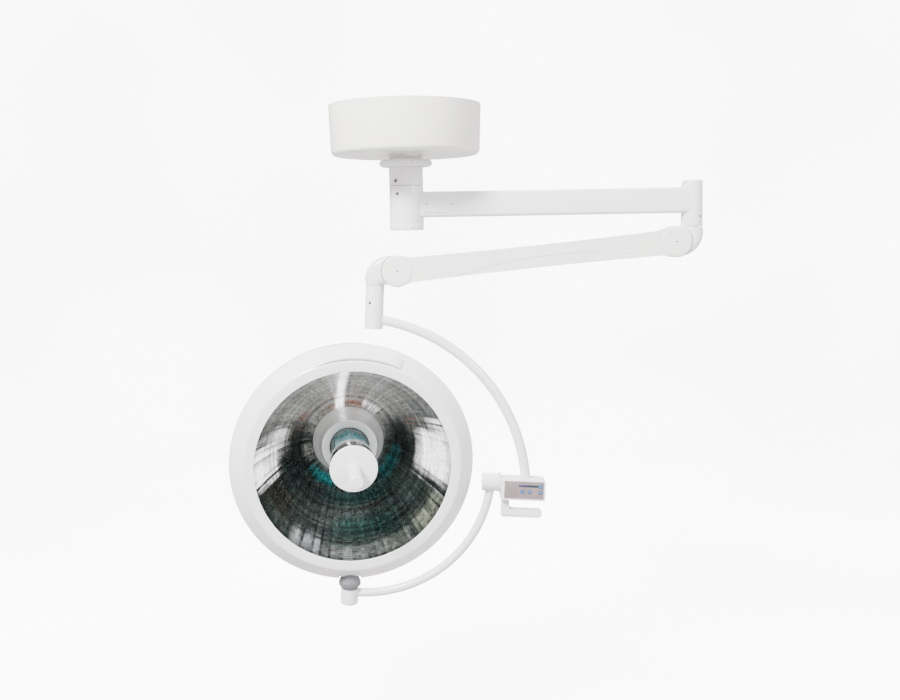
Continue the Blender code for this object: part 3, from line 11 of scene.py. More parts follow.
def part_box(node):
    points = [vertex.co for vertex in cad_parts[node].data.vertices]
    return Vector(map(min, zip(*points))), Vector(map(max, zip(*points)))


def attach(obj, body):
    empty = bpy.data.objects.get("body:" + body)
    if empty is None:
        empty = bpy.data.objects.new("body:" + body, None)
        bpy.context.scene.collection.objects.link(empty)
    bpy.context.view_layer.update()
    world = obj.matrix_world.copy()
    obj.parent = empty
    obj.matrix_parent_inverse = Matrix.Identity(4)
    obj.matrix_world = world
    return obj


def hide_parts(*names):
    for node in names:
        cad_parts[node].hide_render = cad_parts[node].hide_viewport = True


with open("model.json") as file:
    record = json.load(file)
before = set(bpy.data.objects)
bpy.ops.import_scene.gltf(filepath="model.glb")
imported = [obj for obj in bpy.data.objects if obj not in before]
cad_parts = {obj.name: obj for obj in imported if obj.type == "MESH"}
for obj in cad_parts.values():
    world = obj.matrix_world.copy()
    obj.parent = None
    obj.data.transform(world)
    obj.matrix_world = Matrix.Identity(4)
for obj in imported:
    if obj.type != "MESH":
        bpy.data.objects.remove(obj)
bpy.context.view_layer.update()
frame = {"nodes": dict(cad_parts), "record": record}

# ---------------------------------------------------------------- sizes shared with the solids, in metres
FIT = 0.0003
SEAM = 0.0012
PLATE_THICKNESS = 0.012
CANOPY_TOP_RADIUS = 0.212
CANOPY_BOTTOM_RADIUS = 0.207
CANOPY_HEIGHT = 0.139
CANOPY_EDGE = 0.014
CANOPY_WALL = 0.002
POST_RADIUS = 0.0475
POST_WALL = 0.006
COLLAR_RADIUS = 0.074
COLLAR_HEIGHT = 0.019
COLLAR_CHAMFER = 0.006
COLLAR_Z = -0.161
COLLAR_SPLIT_TURN = 17.0
SWIVEL_Z = -0.2235
HUB_DROP = 0.1015
HUB_CAP_HEIGHT = 0.0215
ARM_REACH = 0.801
ARM_Z = -0.276
ARM_HEIGHT = 0.071
ARM_WIDTH = 0.058
ARM_WALL = 0.003
ARM_CORNER = 0.009
COVER_LENGTH = 0.084
COVER_HEIGHT = 0.045
COVER_THICKNESS = 0.0012
END_HUB_RADIUS = 0.030
END_HUB_WALL = 0.0055
END_HUB_TOP = -0.2205
END_HUB_EDGE = 0.006
END_HUB_CAP = 0.018
END_SHOULDER = 0.010
ELBOW_SEAM_Z = -0.3495
ELBOW_SPIGOT = 0.0195
ELBOW_SPIGOT_LENGTH = 0.098
PIVOT_BACK = 0.048
PIVOT_DROP = 0.042
SPRING_ARM_LENGTH = 0.785
SPRING_ARM_SLOPE = 5.08
HOUSING_RADIUS = 0.044
CASING_WIDTH = 0.062
CASING_END_HALF = 0.0355
CASING_MIDDLE_HALF = 0.031
CASING_WALL = 0.003
CASING_EDGE = 0.006
TONGUE_HALF = 0.0153
SLOT_HALF = 0.0038
POCKET_CLEARANCE = 0.002
PIN_RADIUS = 0.008
DISC_RADIUS = 0.0425
DISC_THICKNESS = 0.0024
SPRING_RADIUS = 0.0115
SPRING_WIRE = 0.0021
SPRING_TURNS = 11
SPRING_LENGTH = 0.290
SPRING_LIFT = 0.009
SEAT_FROM_PIVOT = 0.150
SEAT_THICKNESS = 0.004
LOWER_COVER_START = 0.063
LOWER_COVER_END = 0.625
BEND_CORNER = 0.002
UPPER_ELBOW_GROWTH = 0.021
LOWER_ELBOW_GROWTH = 0.028
YOKE_PIVOT_BACK = 0.0627
YOKE_PIVOT_DROP = 0.0417
YOKE_LEAN = 3.3
SOCKET_RADIUS = 0.026
SOCKET_WALL = 0.004
SOCKET_LENGTH = 0.124
YOKE_SPIGOT = 0.0165
YOKE_SPIGOT_LENGTH = 0.090
UPPER_TUBE_RADIUS = 0.0140
UPPER_ARC_RADIUS = 0.4993
UPPER_ARC_CENTRE = (-0.0452, -0.5930)
BOX_TOP = -0.5365
BOX_LEFT = 0.380
BOX_WIDTH = 0.1285
BOX_HEIGHT = 0.0605
BOX_DEPTH = 0.062
BOX_WALL = 0.003
BOX_CORNER = 0.012
PANEL_WIDTH = 0.1125
PANEL_HEIGHT = 0.0500
PANEL_THICKNESS = 0.002
PANEL_INSET = 0.0012
PANEL_MARGIN = 0.0105
PANEL_LOWERING = 0.0058
BUTTON_RADIUS = 0.0054
BUTTON_FLANGE = 0.0014
BUTTON_PROUD = 0.0014
DISPLAY_WIDTH = 0.056
DISPLAY_HEIGHT = 0.006
DISPLAY_PLACE = (0.0685, 0.0128)
BUTTONS = {
    "power_button": (0.1030, 0.0128),
    "dimmer_down_button": (0.0512, 0.0288),
    "dimmer_up_button": (0.0720, 0.0292),
    "lamp_select_button": (0.1030, 0.0296),
}
GRIP_THICKNESS = 0.0235
GRIP_DEPTH = 0.028
GRIP_STEM = 0.0225
GRIP_MARGIN = 0.0045
GRIP_LENGTH = 0.117
FINGER_GAP = 0.0295
TILT = 5.04
STUB_AXIS = -0.5523
STUB_LEFT = 0.3265
STUB_RADIUS = 0.0262
STUB_EDGE = 0.003
RING_RADIUS = 0.0285
RING_WIDTH = 0.0062
TILT_SHAFT = 0.012
TILT_SHAFT_IN_BOX = 0.022
LOWER_TUBE_RADIUS = 0.0125
LOWER_ARC_RADIUS = 0.3696
LOWER_ARC_CENTRE = (-0.0175, 0.0160)
FOOT_RADIUS = 0.0253
FOOT_TOP = -0.3405
FOOT_HEIGHT = 0.048
FOOT_EDGE = 0.008
FOOT_SPINDLE = 0.012
FOOT_SPINDLE_LENGTH = 0.045
HEAD_X = -0.0468
HEAD_RISE = 0.0386
HEAD_TURN = 8.25
RIM_RADIUS = 0.350
RIM_FLAT_OUTER = 0.308
OPENING_RADIUS = 0.279
RIM_FRONT = 0.046
RIM_WALL = 0.004
RIM_LIP = 0.026
GRIP_ARC = 24.0
GRIP_PROUD = 0.008
HOUSING_DEPTH = 0.287
HOUSING_WALL = 0.0025
BARREL_RADIUS = 0.0322
BARREL_NECK = 0.0235
BARREL_FOOT = 0.0228
BARREL_HEIGHT = 0.0405
BARREL_BELT = 0.009
BARREL_TAPER = 0.012
BARREL_TOP = -0.2774
GLASS_THICKNESS = 0.004
MIRROR_WALL = 0.0015
APEX_RADIUS = 0.109
APEX_DEPTH = 0.243
MIRROR_POWER = 1.7
CONE_TOP_RADIUS = 0.084
CONE_HEIGHT = 0.070
CONE_BORE = 0.060
HEX_RADIUS = 0.055
HEX_WALL = 0.0025
BAND_RADIUS = 0.064
BAND_WALL = 0.0015
BAND_BACK = -0.029
BAND_FRONT = 0.050
CENTRE_DISC_RADIUS = 0.068
CENTRE_DISC_THICKNESS = 0.0065
HANDLE_RADIUS = 0.0195
HANDLE_TIP = 0.188
HANDLE_BORE = 0.0106
HANDLE_BORE_DEPTH = 0.040
SPINDLE_SHANK = 0.010

MIRROR_COLUMNS = 190
MIRROR_ROWS = 40
FACET_SHARE = 0.84
FACET_PROUD = 0.0009
ROW_CROWDING = 0.80
FINE = 128
WIRE_HOLE = 0.009
CASING_SWEEP = 0.080
CASING_FINE_RUN = 0.060
PASSAGE_LENGTH = 0.040
PASSAGE_FROM_PIVOT = 0.055
PASSAGE_HEIGHT = CASING_MIDDLE_HALF * 1.7
FINGER_DIP = 0.0012
FINGER_DIPS = 3
COIL_SIDES = 14
COIL_STEPS = 40
CAGE_WIRE = 0.0017
# count of painted reflection rings across the mirror
MIRROR_REFLECTION_RINGS = 52.0
# the mirror's painted highlight streak: offset, core and edge
HIGHLIGHT_STREAK_LEFT = 0.030
HIGHLIGHT_STREAK_CORE = 0.004
HIGHLIGHT_STREAK_EDGE = 0.020

# ---------------------------------------------------------------- worked-out places
POST_BORE = POST_RADIUS - POST_WALL
HUB_BOTTOM_Z = SWIVEL_Z - HUB_DROP
UPPER_PIVOT = (ARM_REACH - PIVOT_BACK, ELBOW_SEAM_Z - PIVOT_DROP)
SLOPE = math.radians(SPRING_ARM_SLOPE)
LOWER_PIVOT = (
    UPPER_PIVOT[0] - SPRING_ARM_LENGTH * math.cos(SLOPE),
    UPPER_PIVOT[1] - SPRING_ARM_LENGTH * math.sin(SLOPE),
)
LEAN = math.radians(YOKE_LEAN)
YOKE_X = LOWER_PIVOT[0] - YOKE_PIVOT_BACK * math.cos(LEAN) - YOKE_PIVOT_DROP * math.sin(LEAN)
YOKE_Z = LOWER_PIVOT[1] + YOKE_PIVOT_BACK * math.sin(LEAN) - YOKE_PIVOT_DROP * math.cos(LEAN)
BOX_FRONT = -BOX_DEPTH / 2
PANEL_FACE = BOX_FRONT + PANEL_INSET
PANEL_LEFT = BOX_LEFT + PANEL_MARGIN
PANEL_TOP = BOX_TOP - PANEL_LOWERING
END_HUB_BORE = END_HUB_RADIUS - END_HUB_WALL
SOCKET_BORE = SOCKET_RADIUS - SOCKET_WALL
POCKET_RADIUS = HOUSING_RADIUS + POCKET_CLEARANCE
GLASS_FRONT = RIM_FRONT - RIM_WALL - FIT
GLASS_BACK = GLASS_FRONT - GLASS_THICKNESS
MIRROR_EDGE = GLASS_BACK - FIT
DISC_BACK = BAND_FRONT + FIT
DISC_FRONT = DISC_BACK + CENTRE_DISC_THICKNESS


def at(location, rotation=(0, 0, 0), parent=None):
    """The place and turn of a piece, as a matrix."""
    own = Matrix.Translation(location) @ Euler(rotation).to_matrix().to_4x4()
    return parent @ own if parent else own


STILL = Matrix.Identity(4)
UPRIGHT = (math.pi / 2, 0, 0)
ALONG_X = (0, math.pi / 2, 0)
SPRING = at((UPPER_PIVOT[0], 0, UPPER_PIVOT[1]), (0, -SLOPE, 0))
ELBOW = at((ARM_REACH, 0, ELBOW_SEAM_Z))
YOKE = at((YOKE_X, 0, YOKE_Z), (0, LEAN, 0))
LOWER = at((0, 0, STUB_AXIS), (math.radians(TILT), 0, 0), YOKE)
HEAD = at((HEAD_X, 0, 0), (0, 0, math.radians(HEAD_TURN)), LOWER)
LAMP = at((0, 0, HEAD_RISE), UPRIGHT, HEAD)


# ================================================================ finishes
class Varied:
    """A number that changes over a surface, worked on with ordinary signs."""

    def __init__(self, finish, socket):
        self.finish = finish
        self.socket = socket

    def maths(self, operation, first, second=None):
        values = [first] if second is None else [first, second]
        node = self.finish.add("ShaderNodeMath", dict(enumerate(values)), operation=operation)
        return Varied(self.finish, node.outputs[0])

    def __abs__(self):
        return self.maths("ABSOLUTE", self)

    def above(self, level):
        return self.maths("GREATER_THAN", self, level)

    def sine(self):
        return self.maths("SINE", self)

    def root(self):
        return self.maths("SQRT", self)

    def larger(self, other):
        return self.maths("MAXIMUM", self, other)

    def between(self, low, high, out_low=0.0, out_high=1.0):
        """Eased from out_low to out_high as this goes from low to high."""
        ends = {"Value": self, "From Min": low, "From Max": high, "To Min": out_low, "To Max": out_high}
        node = self.finish.add("ShaderNodeMapRange", ends, interpolation_type="SMOOTHSTEP")
        return Varied(self.finish, node.outputs[0])


SIGNS = {"add": "ADD", "sub": "SUBTRACT", "mul": "MULTIPLY", "truediv": "DIVIDE", "pow": "POWER"}
for sign, step in SIGNS.items():
    setattr(Varied, f"__{sign}__", lambda self, other, step=step: self.maths(step, self, other))
    setattr(Varied, f"__r{sign}__", lambda self, other, step=step: self.maths(step, other, self))


class Nodes:
    """A node tree, with the one method that adds to it."""

    tree = None

    def feed(self, socket, value):
        if isinstance(value, Varied):
            value = value.socket
        if isinstance(value, bpy.types.NodeSocket):
            self.tree.links.new(value, socket)
        elif socket.type == "RGBA" and len(value) == 3:
            socket.default_value = (*value, 1.0)
        else:
            socket.default_value = value

    def add(self, kind, inputs=None, **settings):
        node = self.tree.nodes.new(kind)
        for key, value in settings.items():
            setattr(node, key, value)
        for key, value in (inputs or {}).items():
            self.feed(node.inputs[key], value)
        return node


class Finish(Nodes):
    """One material, built from nodes."""

    def __init__(self, name):
        self.material = bpy.data.materials.new(name)
        self.material.use_nodes = True
        self.tree = self.material.node_tree
        self.shader = self.tree.nodes["Principled BSDF"]
        self.place = None

    def spot(self, centre=(0, 0, 0), turn=(0, 0, 0), stretch=(1, 1, 1)):
        """Object coordinates about a centre, turned and stretched."""
        if self.place is None:
            self.place = self.add("ShaderNodeTexCoord").outputs["Object"]
        own = Matrix.LocRotScale(Vector(centre), Euler(turn), Vector((1, 1, 1))).inverted()
        loc, rot, _ = own.decompose()
        inputs = {"Vector": self.place, "Location": loc, "Rotation": rot.to_euler()}
        made = self.add("ShaderNodeMapping", inputs).outputs[0]
        if stretch == (1, 1, 1):
            return made
        return self.add("ShaderNodeVectorMath", {0: made, 1: stretch}, operation="MULTIPLY").outputs[0]

    def axes(self, place):
        parts = self.add("ShaderNodeSeparateXYZ", {0: place})
        return [Varied(self, parts.outputs[k]) for k in range(3)]

    def noise(self, scale, detail=3.0, place=None, rough=0.5):
        inputs = {"Vector": place or self.spot(), "Scale": scale, "Detail": detail, "Roughness": rough}
        return Varied(self, self.add("ShaderNodeTexNoise", inputs).outputs[0])

    def cells(self, scale, place=None):
        inputs = {"Vector": place or self.spot(), "Scale": scale}
        return Varied(self, self.add("ShaderNodeTexVoronoi", inputs).outputs["Distance"])

    def own(self, name):
        """An attribute that the mesh carries."""
        return Varied(self, self.add("ShaderNodeAttribute", attribute_name=name).outputs["Fac"])

    def ramp(self, value, stops):
        node = self.add("ShaderNodeValToRGB", {"Fac": value})
        elements = node.color_ramp.elements
        while len(elements) < len(stops):
            elements.new(0.5)
        for element, (position, color) in zip(elements, stops):
            element.position = position
            element.color = (*color, 1.0)
        return node.outputs["Color"]

    def grey(self, value):
        return self.add("ShaderNodeCombineColor", {0: value, 1: value, 2: value}).outputs[0]

    def mix(self, share, first, second, way="MIX"):
        """A colour between two; a colour mix node has its colours at inputs 6 and 7."""
        inputs = {"Factor": share, 6: first, 7: second}
        return self.add("ShaderNodeMix", inputs, data_type="RGBA", blend_type=way).outputs[2]

    def bump(self, height, distance, strength=1.0):
        inputs = {"Height": height, "Distance": distance, "Strength": strength}
        return self.add("ShaderNodeBump", inputs).outputs[0]

    def set(self, **values):
        for key, value in values.items():
            self.feed(self.shader.inputs[key.replace("_", " ")], value)
        return self.material


def lacquer(name, color, shade, gloss, peel=0.00004, coat=0.35):
    """Sprayed enamel: orange peel, faint clouding, and a little settled dust on top faces."""
    made = Finish(name)
    clouds = made.noise(7.0, 4.0)
    smears = made.noise(38.0, 3.0, made.spot(stretch=(1, 1, 0.35)))
    dust = made.noise(420.0, 2.0).between(0.60, 0.78)
    up = made.axes(made.add("ShaderNodeNewGeometry").outputs["Normal"])[2].between(0.55, 1.0)
    tone = made.mix(clouds.between(0.35, 0.72), color, shade)
    tone = made.mix(dust * up * 0.10, tone, (0.45, 0.42, 0.38))
    rough = gloss + smears.between(0.3, 0.8) * 0.07 + dust * up * 0.15
    skin = made.noise(260.0, 2.0)
    return made.set(
        Base_Color=tone,
        Roughness=rough,
        Normal=made.bump(skin, peel, 0.6),
        Coat_Weight=coat,
        Coat_Roughness=0.06,
        Specular_IOR_Level=0.5,
    )


def moulded(name, color, shade, gloss, grain=0.00006, coat=0.0):
    """Injection-moulded plastic with a fine spark texture."""
    made = Finish(name)
    tone = made.mix(made.noise(9.0, 3.0).between(0.3, 0.75), color, shade)
    texture = made.cells(1500.0)
    rubbed = made.noise(45.0, 4.0).between(0.45, 0.8)
    return made.set(
        Base_Color=tone,
        Roughness=gloss - rubbed * 0.08 + texture * 0.08,
        Normal=made.bump(texture, grain, 0.35),
        Coat_Weight=coat,
    )


def machined(name, color, gloss, turn=(0, 0, 0), marks=(1, 1, 60), metallic=1.0, worn=0.12):
    """Turned or ground metal with fine tool marks and a little tarnish."""
    made = Finish(name)
    lines = made.noise(40.0, 4.0, made.spot(turn=turn, stretch=marks))
    patches = made.noise(55.0, 4.0)
    tone = made.mix(patches.between(0.4, 0.75) * 0.5, color, tuple(c * (1 - worn * 2) for c in color))
    return made.set(
        Base_Color=tone,
        Metallic=metallic,
        Roughness=gloss + lines * 0.14 + patches.between(0.5, 0.8) * worn,
        Normal=made.bump(lines, 0.00003, 0.35),
    )


# Each painted reflection patch on the mirror: angle round the axis and half spread in degrees, share of
# the way from cone to opening and half width, strength, and the painted reflection's colour there.
MIRROR_REFLECTION_PATCHES = (
    (90, 80, 0.70, 0.60, 0.85, (0.46, 0.47, 0.46)),
    (150, 40, 0.62, 0.46, 0.80, (0.60, 0.60, 0.58)),
    (38, 24, 0.66, 0.36, 0.45, (0.30, 0.30, 0.29)),
    (96, 52, 0.07, 0.13, 0.85, (0.30, 0.13, 0.07)),
    (100, 44, 0.27, 0.07, 0.55, (0.26, 0.13, 0.08)),
    (151, 16, 0.30, 0.12, 0.70, (0.27, 0.13, 0.08)),
    (27, 10, 0.55, 0.14, 0.60, (0.24, 0.11, 0.08)),
    (176, 26, 0.30, 0.22, 0.85, (0.018, 0.020, 0.018)),
    (12, 26, 0.28, 0.24, 0.92, (0.010, 0.013, 0.012)),
    (58, 15, 0.16, 0.17, 0.80, (0.46, 0.46, 0.45)),
    (140, 26, 0.12, 0.10, 0.55, (0.46, 0.46, 0.45)),
    (196, 18, 0.12, 0.11, 0.70, (0.38, 0.38, 0.37)),
    (237, 24, 0.17, 0.13, 0.95, (0.02, 0.30, 0.31)),
    (-28, 30, 0.22, 0.13, 0.80, (0.015, 0.15, 0.16)),
    (-80, 48, 0.36, 0.14, 0.60, (0.010, 0.095, 0.090)),
    (-78, 34, 0.70, 0.18, 0.60, (0.012, 0.085, 0.066)),
    (206, 26, 0.78, 0.24, 0.55, (0.085, 0.060, 0.050)),
    (240, 14, 0.93, 0.16, 0.85, (0.46, 0.46, 0.48)),
    (268, 26, 0.99, 0.13, 0.60, (0.38, 0.38, 0.37)),
    (-36, 16, 0.95, 0.17, 0.70, (0.36, 0.37, 0.29)),
    (-60, 14, 0.97, 0.12, 0.45, (0.30, 0.30, 0.27)),
)
# The white glares on it, placed in the same way.
MIRROR_GLARES = (
    (3, 22, 0.80, 0.34, 1.0),
    (183, 17, 0.86, 0.32, 1.0),
    (19, 14, 0.93, 0.24, 0.6),
    (170, 14, 0.66, 0.26, 0.35),
    (62, 10, 0.13, 0.12, 0.35),
)


def mirror_painted_reflections():
    """A facet mirror in painted reflections: near-black green below, silver above, with copper, teal and
    white patches, painted light rings and white glares that glow; every facet, row and column has a
    painted reflection brightness of its own."""
    made = Finish("faceted_mirror_coating")
    centre, turn = LAMP.to_translation(), LAMP.to_euler()
    across, up, _ = made.axes(made.spot(centre, turn))
    radius = (across * across + up * up).root()
    height = up / radius
    side = across / radius
    out = (radius - APEX_RADIUS) / (OPENING_RADIUS - APEX_RADIUS)
    ripple = made.noise(22.0, 3.0, made.spot(centre, turn, (1, 1, 0.2))) - 0.5
    comb = (made.own("column_shade") - 1.0) * 0.06
    steps = (made.own("row_shade") - 1.0) * 0.05

    def patch(angle, spread, share, width):
        way = math.radians(angle)
        facing = side * math.cos(way) + height * math.sin(way) + ripple * 0.06 + comb
        low, high = math.cos(math.radians(spread)), math.cos(math.radians(spread * 0.15))
        away = abs(out - share + ripple * 0.14 + steps)
        return facing.between(low, high) * (1.0 - away.between(width * 0.1, width))

    # painted reflection: dark green-black low in the bowl, silver higher up
    base = made.ramp(
        height * 0.5 + 0.5 + ripple * 0.12,
        [
            (0.0, (0.095, 0.105, 0.100)),
            (0.22, (0.045, 0.062, 0.056)),
            (0.48, (0.026, 0.032, 0.029)),
            (0.64, (0.13, 0.135, 0.13)),
            (1.0, (0.42, 0.43, 0.42)),
        ],
    )
    for angle, spread, share, width, strength, color in MIRROR_REFLECTION_PATCHES:
        base = made.mix(patch(angle, spread, share, width) * strength, base, color)
    # painted reflection brightness, random for every facet, row and column
    shade = made.own("facet_shade") * made.own("row_shade") * made.own("column_shade")
    base = made.mix(1.0, base, made.grey(shade), "MULTIPLY")
    # painted reflection: light rings round the upper part of the bowl
    rings = ((out * MIRROR_REFLECTION_RINGS).sine() * 0.5 + 0.5) * height.between(0.35, 0.75) * 0.45
    base = made.mix(rings * (ripple + 0.75), base, (0.74, 0.75, 0.74))
    # painted highlight: a bright streak high in the bowl and the white glares
    highlight_streak = 1.0 - abs(across + HIGHLIGHT_STREAK_LEFT).between(HIGHLIGHT_STREAK_CORE, HIGHLIGHT_STREAK_EDGE)
    bright = highlight_streak * height.between(0.80, 0.93) * 0.8
    for angle, spread, share, width, strength in MIRROR_GLARES:
        bright = bright.larger(patch(angle, spread, share, width) * strength)
    bright = bright ** 1.3 * (0.25 + shade * 0.75)
    base = made.mix(bright, base, (0.93, 0.93, 0.95))
    return made.set(
        Base_Color=base,
        Metallic=0.90,
        Roughness=0.27 + made.own("facet_shade") * 0.04,
        # the painted highlights also glow
        Emission_Color=made.mix(bright, (0, 0, 0), (1.0, 1.0, 1.0)),
        Emission_Strength=2.6,
    )


def glass(name, color, alpha, rough=0.02):
    made = Finish(name)
    haze = made.noise(6.0, 3.0).between(0.4, 0.8)
    made.set(Base_Color=color, Roughness=rough + haze * 0.03, Alpha=alpha + haze * 0.01)
    return made.set(IOR=1.5, Specular_IOR_Level=0.5)


def panel_film():
    made = Finish("taupe_panel_film")
    weave = made.cells(2600.0)
    tone = made.mix(made.noise(30.0, 3.0).between(0.35, 0.7), (0.205, 0.168, 0.166), (0.175, 0.143, 0.143))
    return made.set(Base_Color=tone, Roughness=0.36 + weave * 0.1, Normal=made.bump(weave, 0.00003, 0.3))


def display_film():
    """A dark window, violet to blue at its left end and green at its right, with lit bars."""
    made = Finish("brightness_window_film")
    low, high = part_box("brightness_display")
    along = made.axes(made.spot())[0].between(low.x, high.x)
    bars = ((made.axes(made.spot())[0] * 2200.0).sine()).above(-0.4)
    hues = [
        (0.0, (0.07, 0.035, 0.14)),
        (0.35, (0.03, 0.028, 0.12)),
        (0.65, (0.006, 0.030, 0.05)),
        (1.0, (0.004, 0.036, 0.030)),
    ]
    hue = made.ramp(along, hues)
    dim = made.mix(bars, (0.008, 0.010, 0.014), hue)
    glow = {"Emission_Color": dim, "Emission_Strength": 0.1}
    return made.set(Base_Color=dim, Roughness=0.16, Coat_Weight=0.4, **glow)


def button_film():
    """A blue domed key with a lighter lens in its middle."""
    made = Finish("blue_key_plastic")
    across = made.own("from_axis")
    lens = 1.0 - across.between(0.0022, 0.0031)
    speck = made.noise(900.0, 2.0)
    tone = made.mix(lens, (0.002, 0.030, 0.20), (0.05, 0.26, 0.60))
    tone = made.mix(speck.between(0.55, 0.8) * 0.2, tone, (0.15, 0.35, 0.7))
    rim = across.between(0.0047, 0.0053)
    tone = made.mix(rim * 0.6, tone, (0.16, 0.20, 0.27))
    return made.set(Base_Color=tone, Roughness=0.24 + speck * 0.08, Coat_Weight=0.5, Emission_Color=tone,
                    Emission_Strength=0.04)


def laminated_core():
    """Stacked iron sheets under varnish."""
    made = Finish("varnished_iron_laminations")
    along = made.axes(made.spot())[1]
    sheets = (along * 9000.0).sine().between(-0.2, 0.8)
    tone = made.mix(sheets, (0.075, 0.060, 0.050), (0.17, 0.15, 0.13))
    return made.set(Base_Color=tone, Metallic=0.5, Roughness=0.45 + sheets * 0.1,
                    Normal=made.bump(sheets, 0.0001, 0.4), Coat_Weight=0.3)


def solder_mask():
    """A green board with copper tracks that show through as lighter lines."""
    made = Finish("green_solder_mask")
    x, _, z = made.axes(made.spot())
    tracks = (x * 1500.0).sine().above(0.86) + (z * 1700.0).sine().above(0.90)
    where = made.noise(90.0, 1.0).between(0.45, 0.55)
    tone = made.mix(tracks * where, (0.015, 0.11, 0.045), (0.05, 0.26, 0.10))
    return made.set(Base_Color=tone, Roughness=0.32, Coat_Weight=0.4)


WHITE = (0.82, 0.80, 0.81)
FINISHES = {
    "white_enamel": lacquer("white_enamel_spray", WHITE, (0.79, 0.765, 0.77), 0.24),
    "canopy_enamel": lacquer("warm_white_canopy_enamel", (0.83, 0.82, 0.79), (0.80, 0.79, 0.76), 0.16),
    "arm_enamel": lacquer(
        "matt_white_casing_enamel", (0.80, 0.795, 0.78), (0.775, 0.77, 0.755), 0.36, coat=0.1
    ),
    "rim_enamel": lacquer("rim_white_enamel", (0.83, 0.81, 0.82), (0.80, 0.775, 0.78), 0.22),
    "white_plastic": moulded("white_handle_plastic", (0.80, 0.79, 0.78), (0.77, 0.76, 0.75), 0.36),
    "grey_plastic": moulded("grey_barrel_plastic", (0.125, 0.122, 0.135), (0.105, 0.103, 0.115), 0.42),
    "bright_steel": machined("turned_bright_steel", (0.60, 0.60, 0.61), 0.20),
    "zinc_plate": machined("zinc_plated_steel", (0.52, 0.54, 0.57), 0.30, worn=0.16),
    "chrome": machined("polished_chrome", (0.62, 0.66, 0.69), 0.05, worn=0.03),
    "bronze": machined("sintered_bronze", (0.52, 0.36, 0.19), 0.34),
    "transformer_core": laminated_core(),
    "spring_steel": machined("oiled_spring_steel", (0.26, 0.27, 0.29), 0.28, marks=(20, 1, 1), worn=0.18),
    "panel_film": panel_film(),
    "display_window_film": display_film(),
    "circuit_board": solder_mask(),
    "button_blue": button_film(),
    "clear_glass": glass("clear_front_glass", (0.02, 0.03, 0.03), 0.015),
    "satin_silver": machined(
        "satin_silver_cone", (0.93, 0.93, 0.935), 0.34, marks=(1, 1, 1), metallic=0.35, worn=0.03
    ),
    "teal_glass": glass("teal_heat_glass", (0.04, 0.42, 0.45), 0.42, 0.04),
    "dark_steel": machined("blackened_steel", (0.10, 0.11, 0.12), 0.30),
    "ceramic": moulded("unglazed_ceramic", (0.74, 0.73, 0.69), (0.68, 0.67, 0.63), 0.62, 0.00012),
    "quartz": glass("quartz_bulb_glass", (0.90, 0.93, 0.96), 0.30),
    "mirror": mirror_painted_reflections(),
    "screw_steel": machined("dulled_screw_steel", (0.20, 0.19, 0.18), 0.34, worn=0.2),
    "print_grey": moulded("grey_panel_print", (0.11, 0.10, 0.105), (0.09, 0.085, 0.09), 0.45, 0.00001),
}


# ================================================================ shaping
PIECE_ENDING = "_finished"
SQUARE = ((-1, -1), (1, -1), (1, 1), (-1, 1))


def as_piece(name):
    """A finished piece is named after its solid, with the kind of model it is."""
    return name + PIECE_ENDING


def made_of(shape, name):
    """A new object at the origin from a bmesh, with its doubles merged and faces outward."""
    bmesh.ops.remove_doubles(shape, verts=shape.verts, dist=1e-6)
    bmesh.ops.recalc_face_normals(shape, faces=shape.faces)
    mesh = bpy.data.meshes.new(name)
    shape.to_mesh(mesh)
    shape.free()
    obj = bpy.data.objects.new(name, mesh)
    bpy.context.scene.collection.objects.link(obj)
    return obj


def put(obj, matrix):
    """Moves the piece's own mesh to its place."""
    obj.data.transform(matrix)
    return obj


def arc(centre, radius, start, end, steps):
    turn = [math.radians(start + (end - start) * k / steps) for k in range(steps + 1)]
    return [(centre[0] + radius * math.cos(a), centre[1] + radius * math.sin(a)) for a in turn]


def rounded(corners, steps=6):
    """An outline of (x, y) or (x, y, fillet radius) corners, with each fillet as an arc."""
    points = []
    for index, corner in enumerate(corners):
        here = Vector(corner[:2])
        fillet = corner[2] if len(corner) > 2 else 0.0
        if fillet == 0.0:
            points.append(tuple(here))
            continue
        to_last = (Vector(corners[index - 1][:2]) - here).normalized()
        to_next = (Vector(corners[(index + 1) % len(corners)][:2]) - here).normalized()
        half = to_last.angle(to_next) / 2
        centre = here + (to_last + to_next).normalized() * (fillet / math.sin(half))
        first = here + to_last * (fillet / math.tan(half)) - centre
        last = here + to_next * (fillet / math.tan(half)) - centre
        start = math.atan2(first.y, first.x)
        sweep = math.remainder(math.atan2(last.y, last.x) - start, math.tau)
        for k in range(steps + 1):
            angle = start + sweep * k / steps
            points.append((centre.x + fillet * math.cos(angle), centre.y + fillet * math.sin(angle)))
    return points


def turned(name, profile, segments=FINE, closed=False):
    """A (radius, height) profile turned about Z."""
    shape = bmesh.new()
    rings = []
    for radius, height in profile:
        if radius < 1e-6:
            rings.append([shape.verts.new((0, 0, height))] * segments)
            continue
        steps = [math.tau * k / segments for k in range(segments)]
        rings.append([shape.verts.new((radius * math.cos(a), radius * math.sin(a), height)) for a in steps])
    pairs = list(zip(rings, rings[1:])) + ([(rings[-1], rings[0])] if closed else [])
    for first, second in pairs:
        for k in range(segments):
            after = (k + 1) % segments
            corners = []
            for vertex in (first[k], first[after], second[after], second[k]):
                if vertex not in corners:
                    corners.append(vertex)
            if len(corners) > 2:
                shape.faces.new(corners)
    return made_of(shape, name)


def spun(name, corners, where, steps=5, segments=FINE, closed=False):
    """A turned piece named after its solid, with its corners rounded, at its place."""
    return put(turned(as_piece(name), rounded(corners, steps), segments, closed), where)


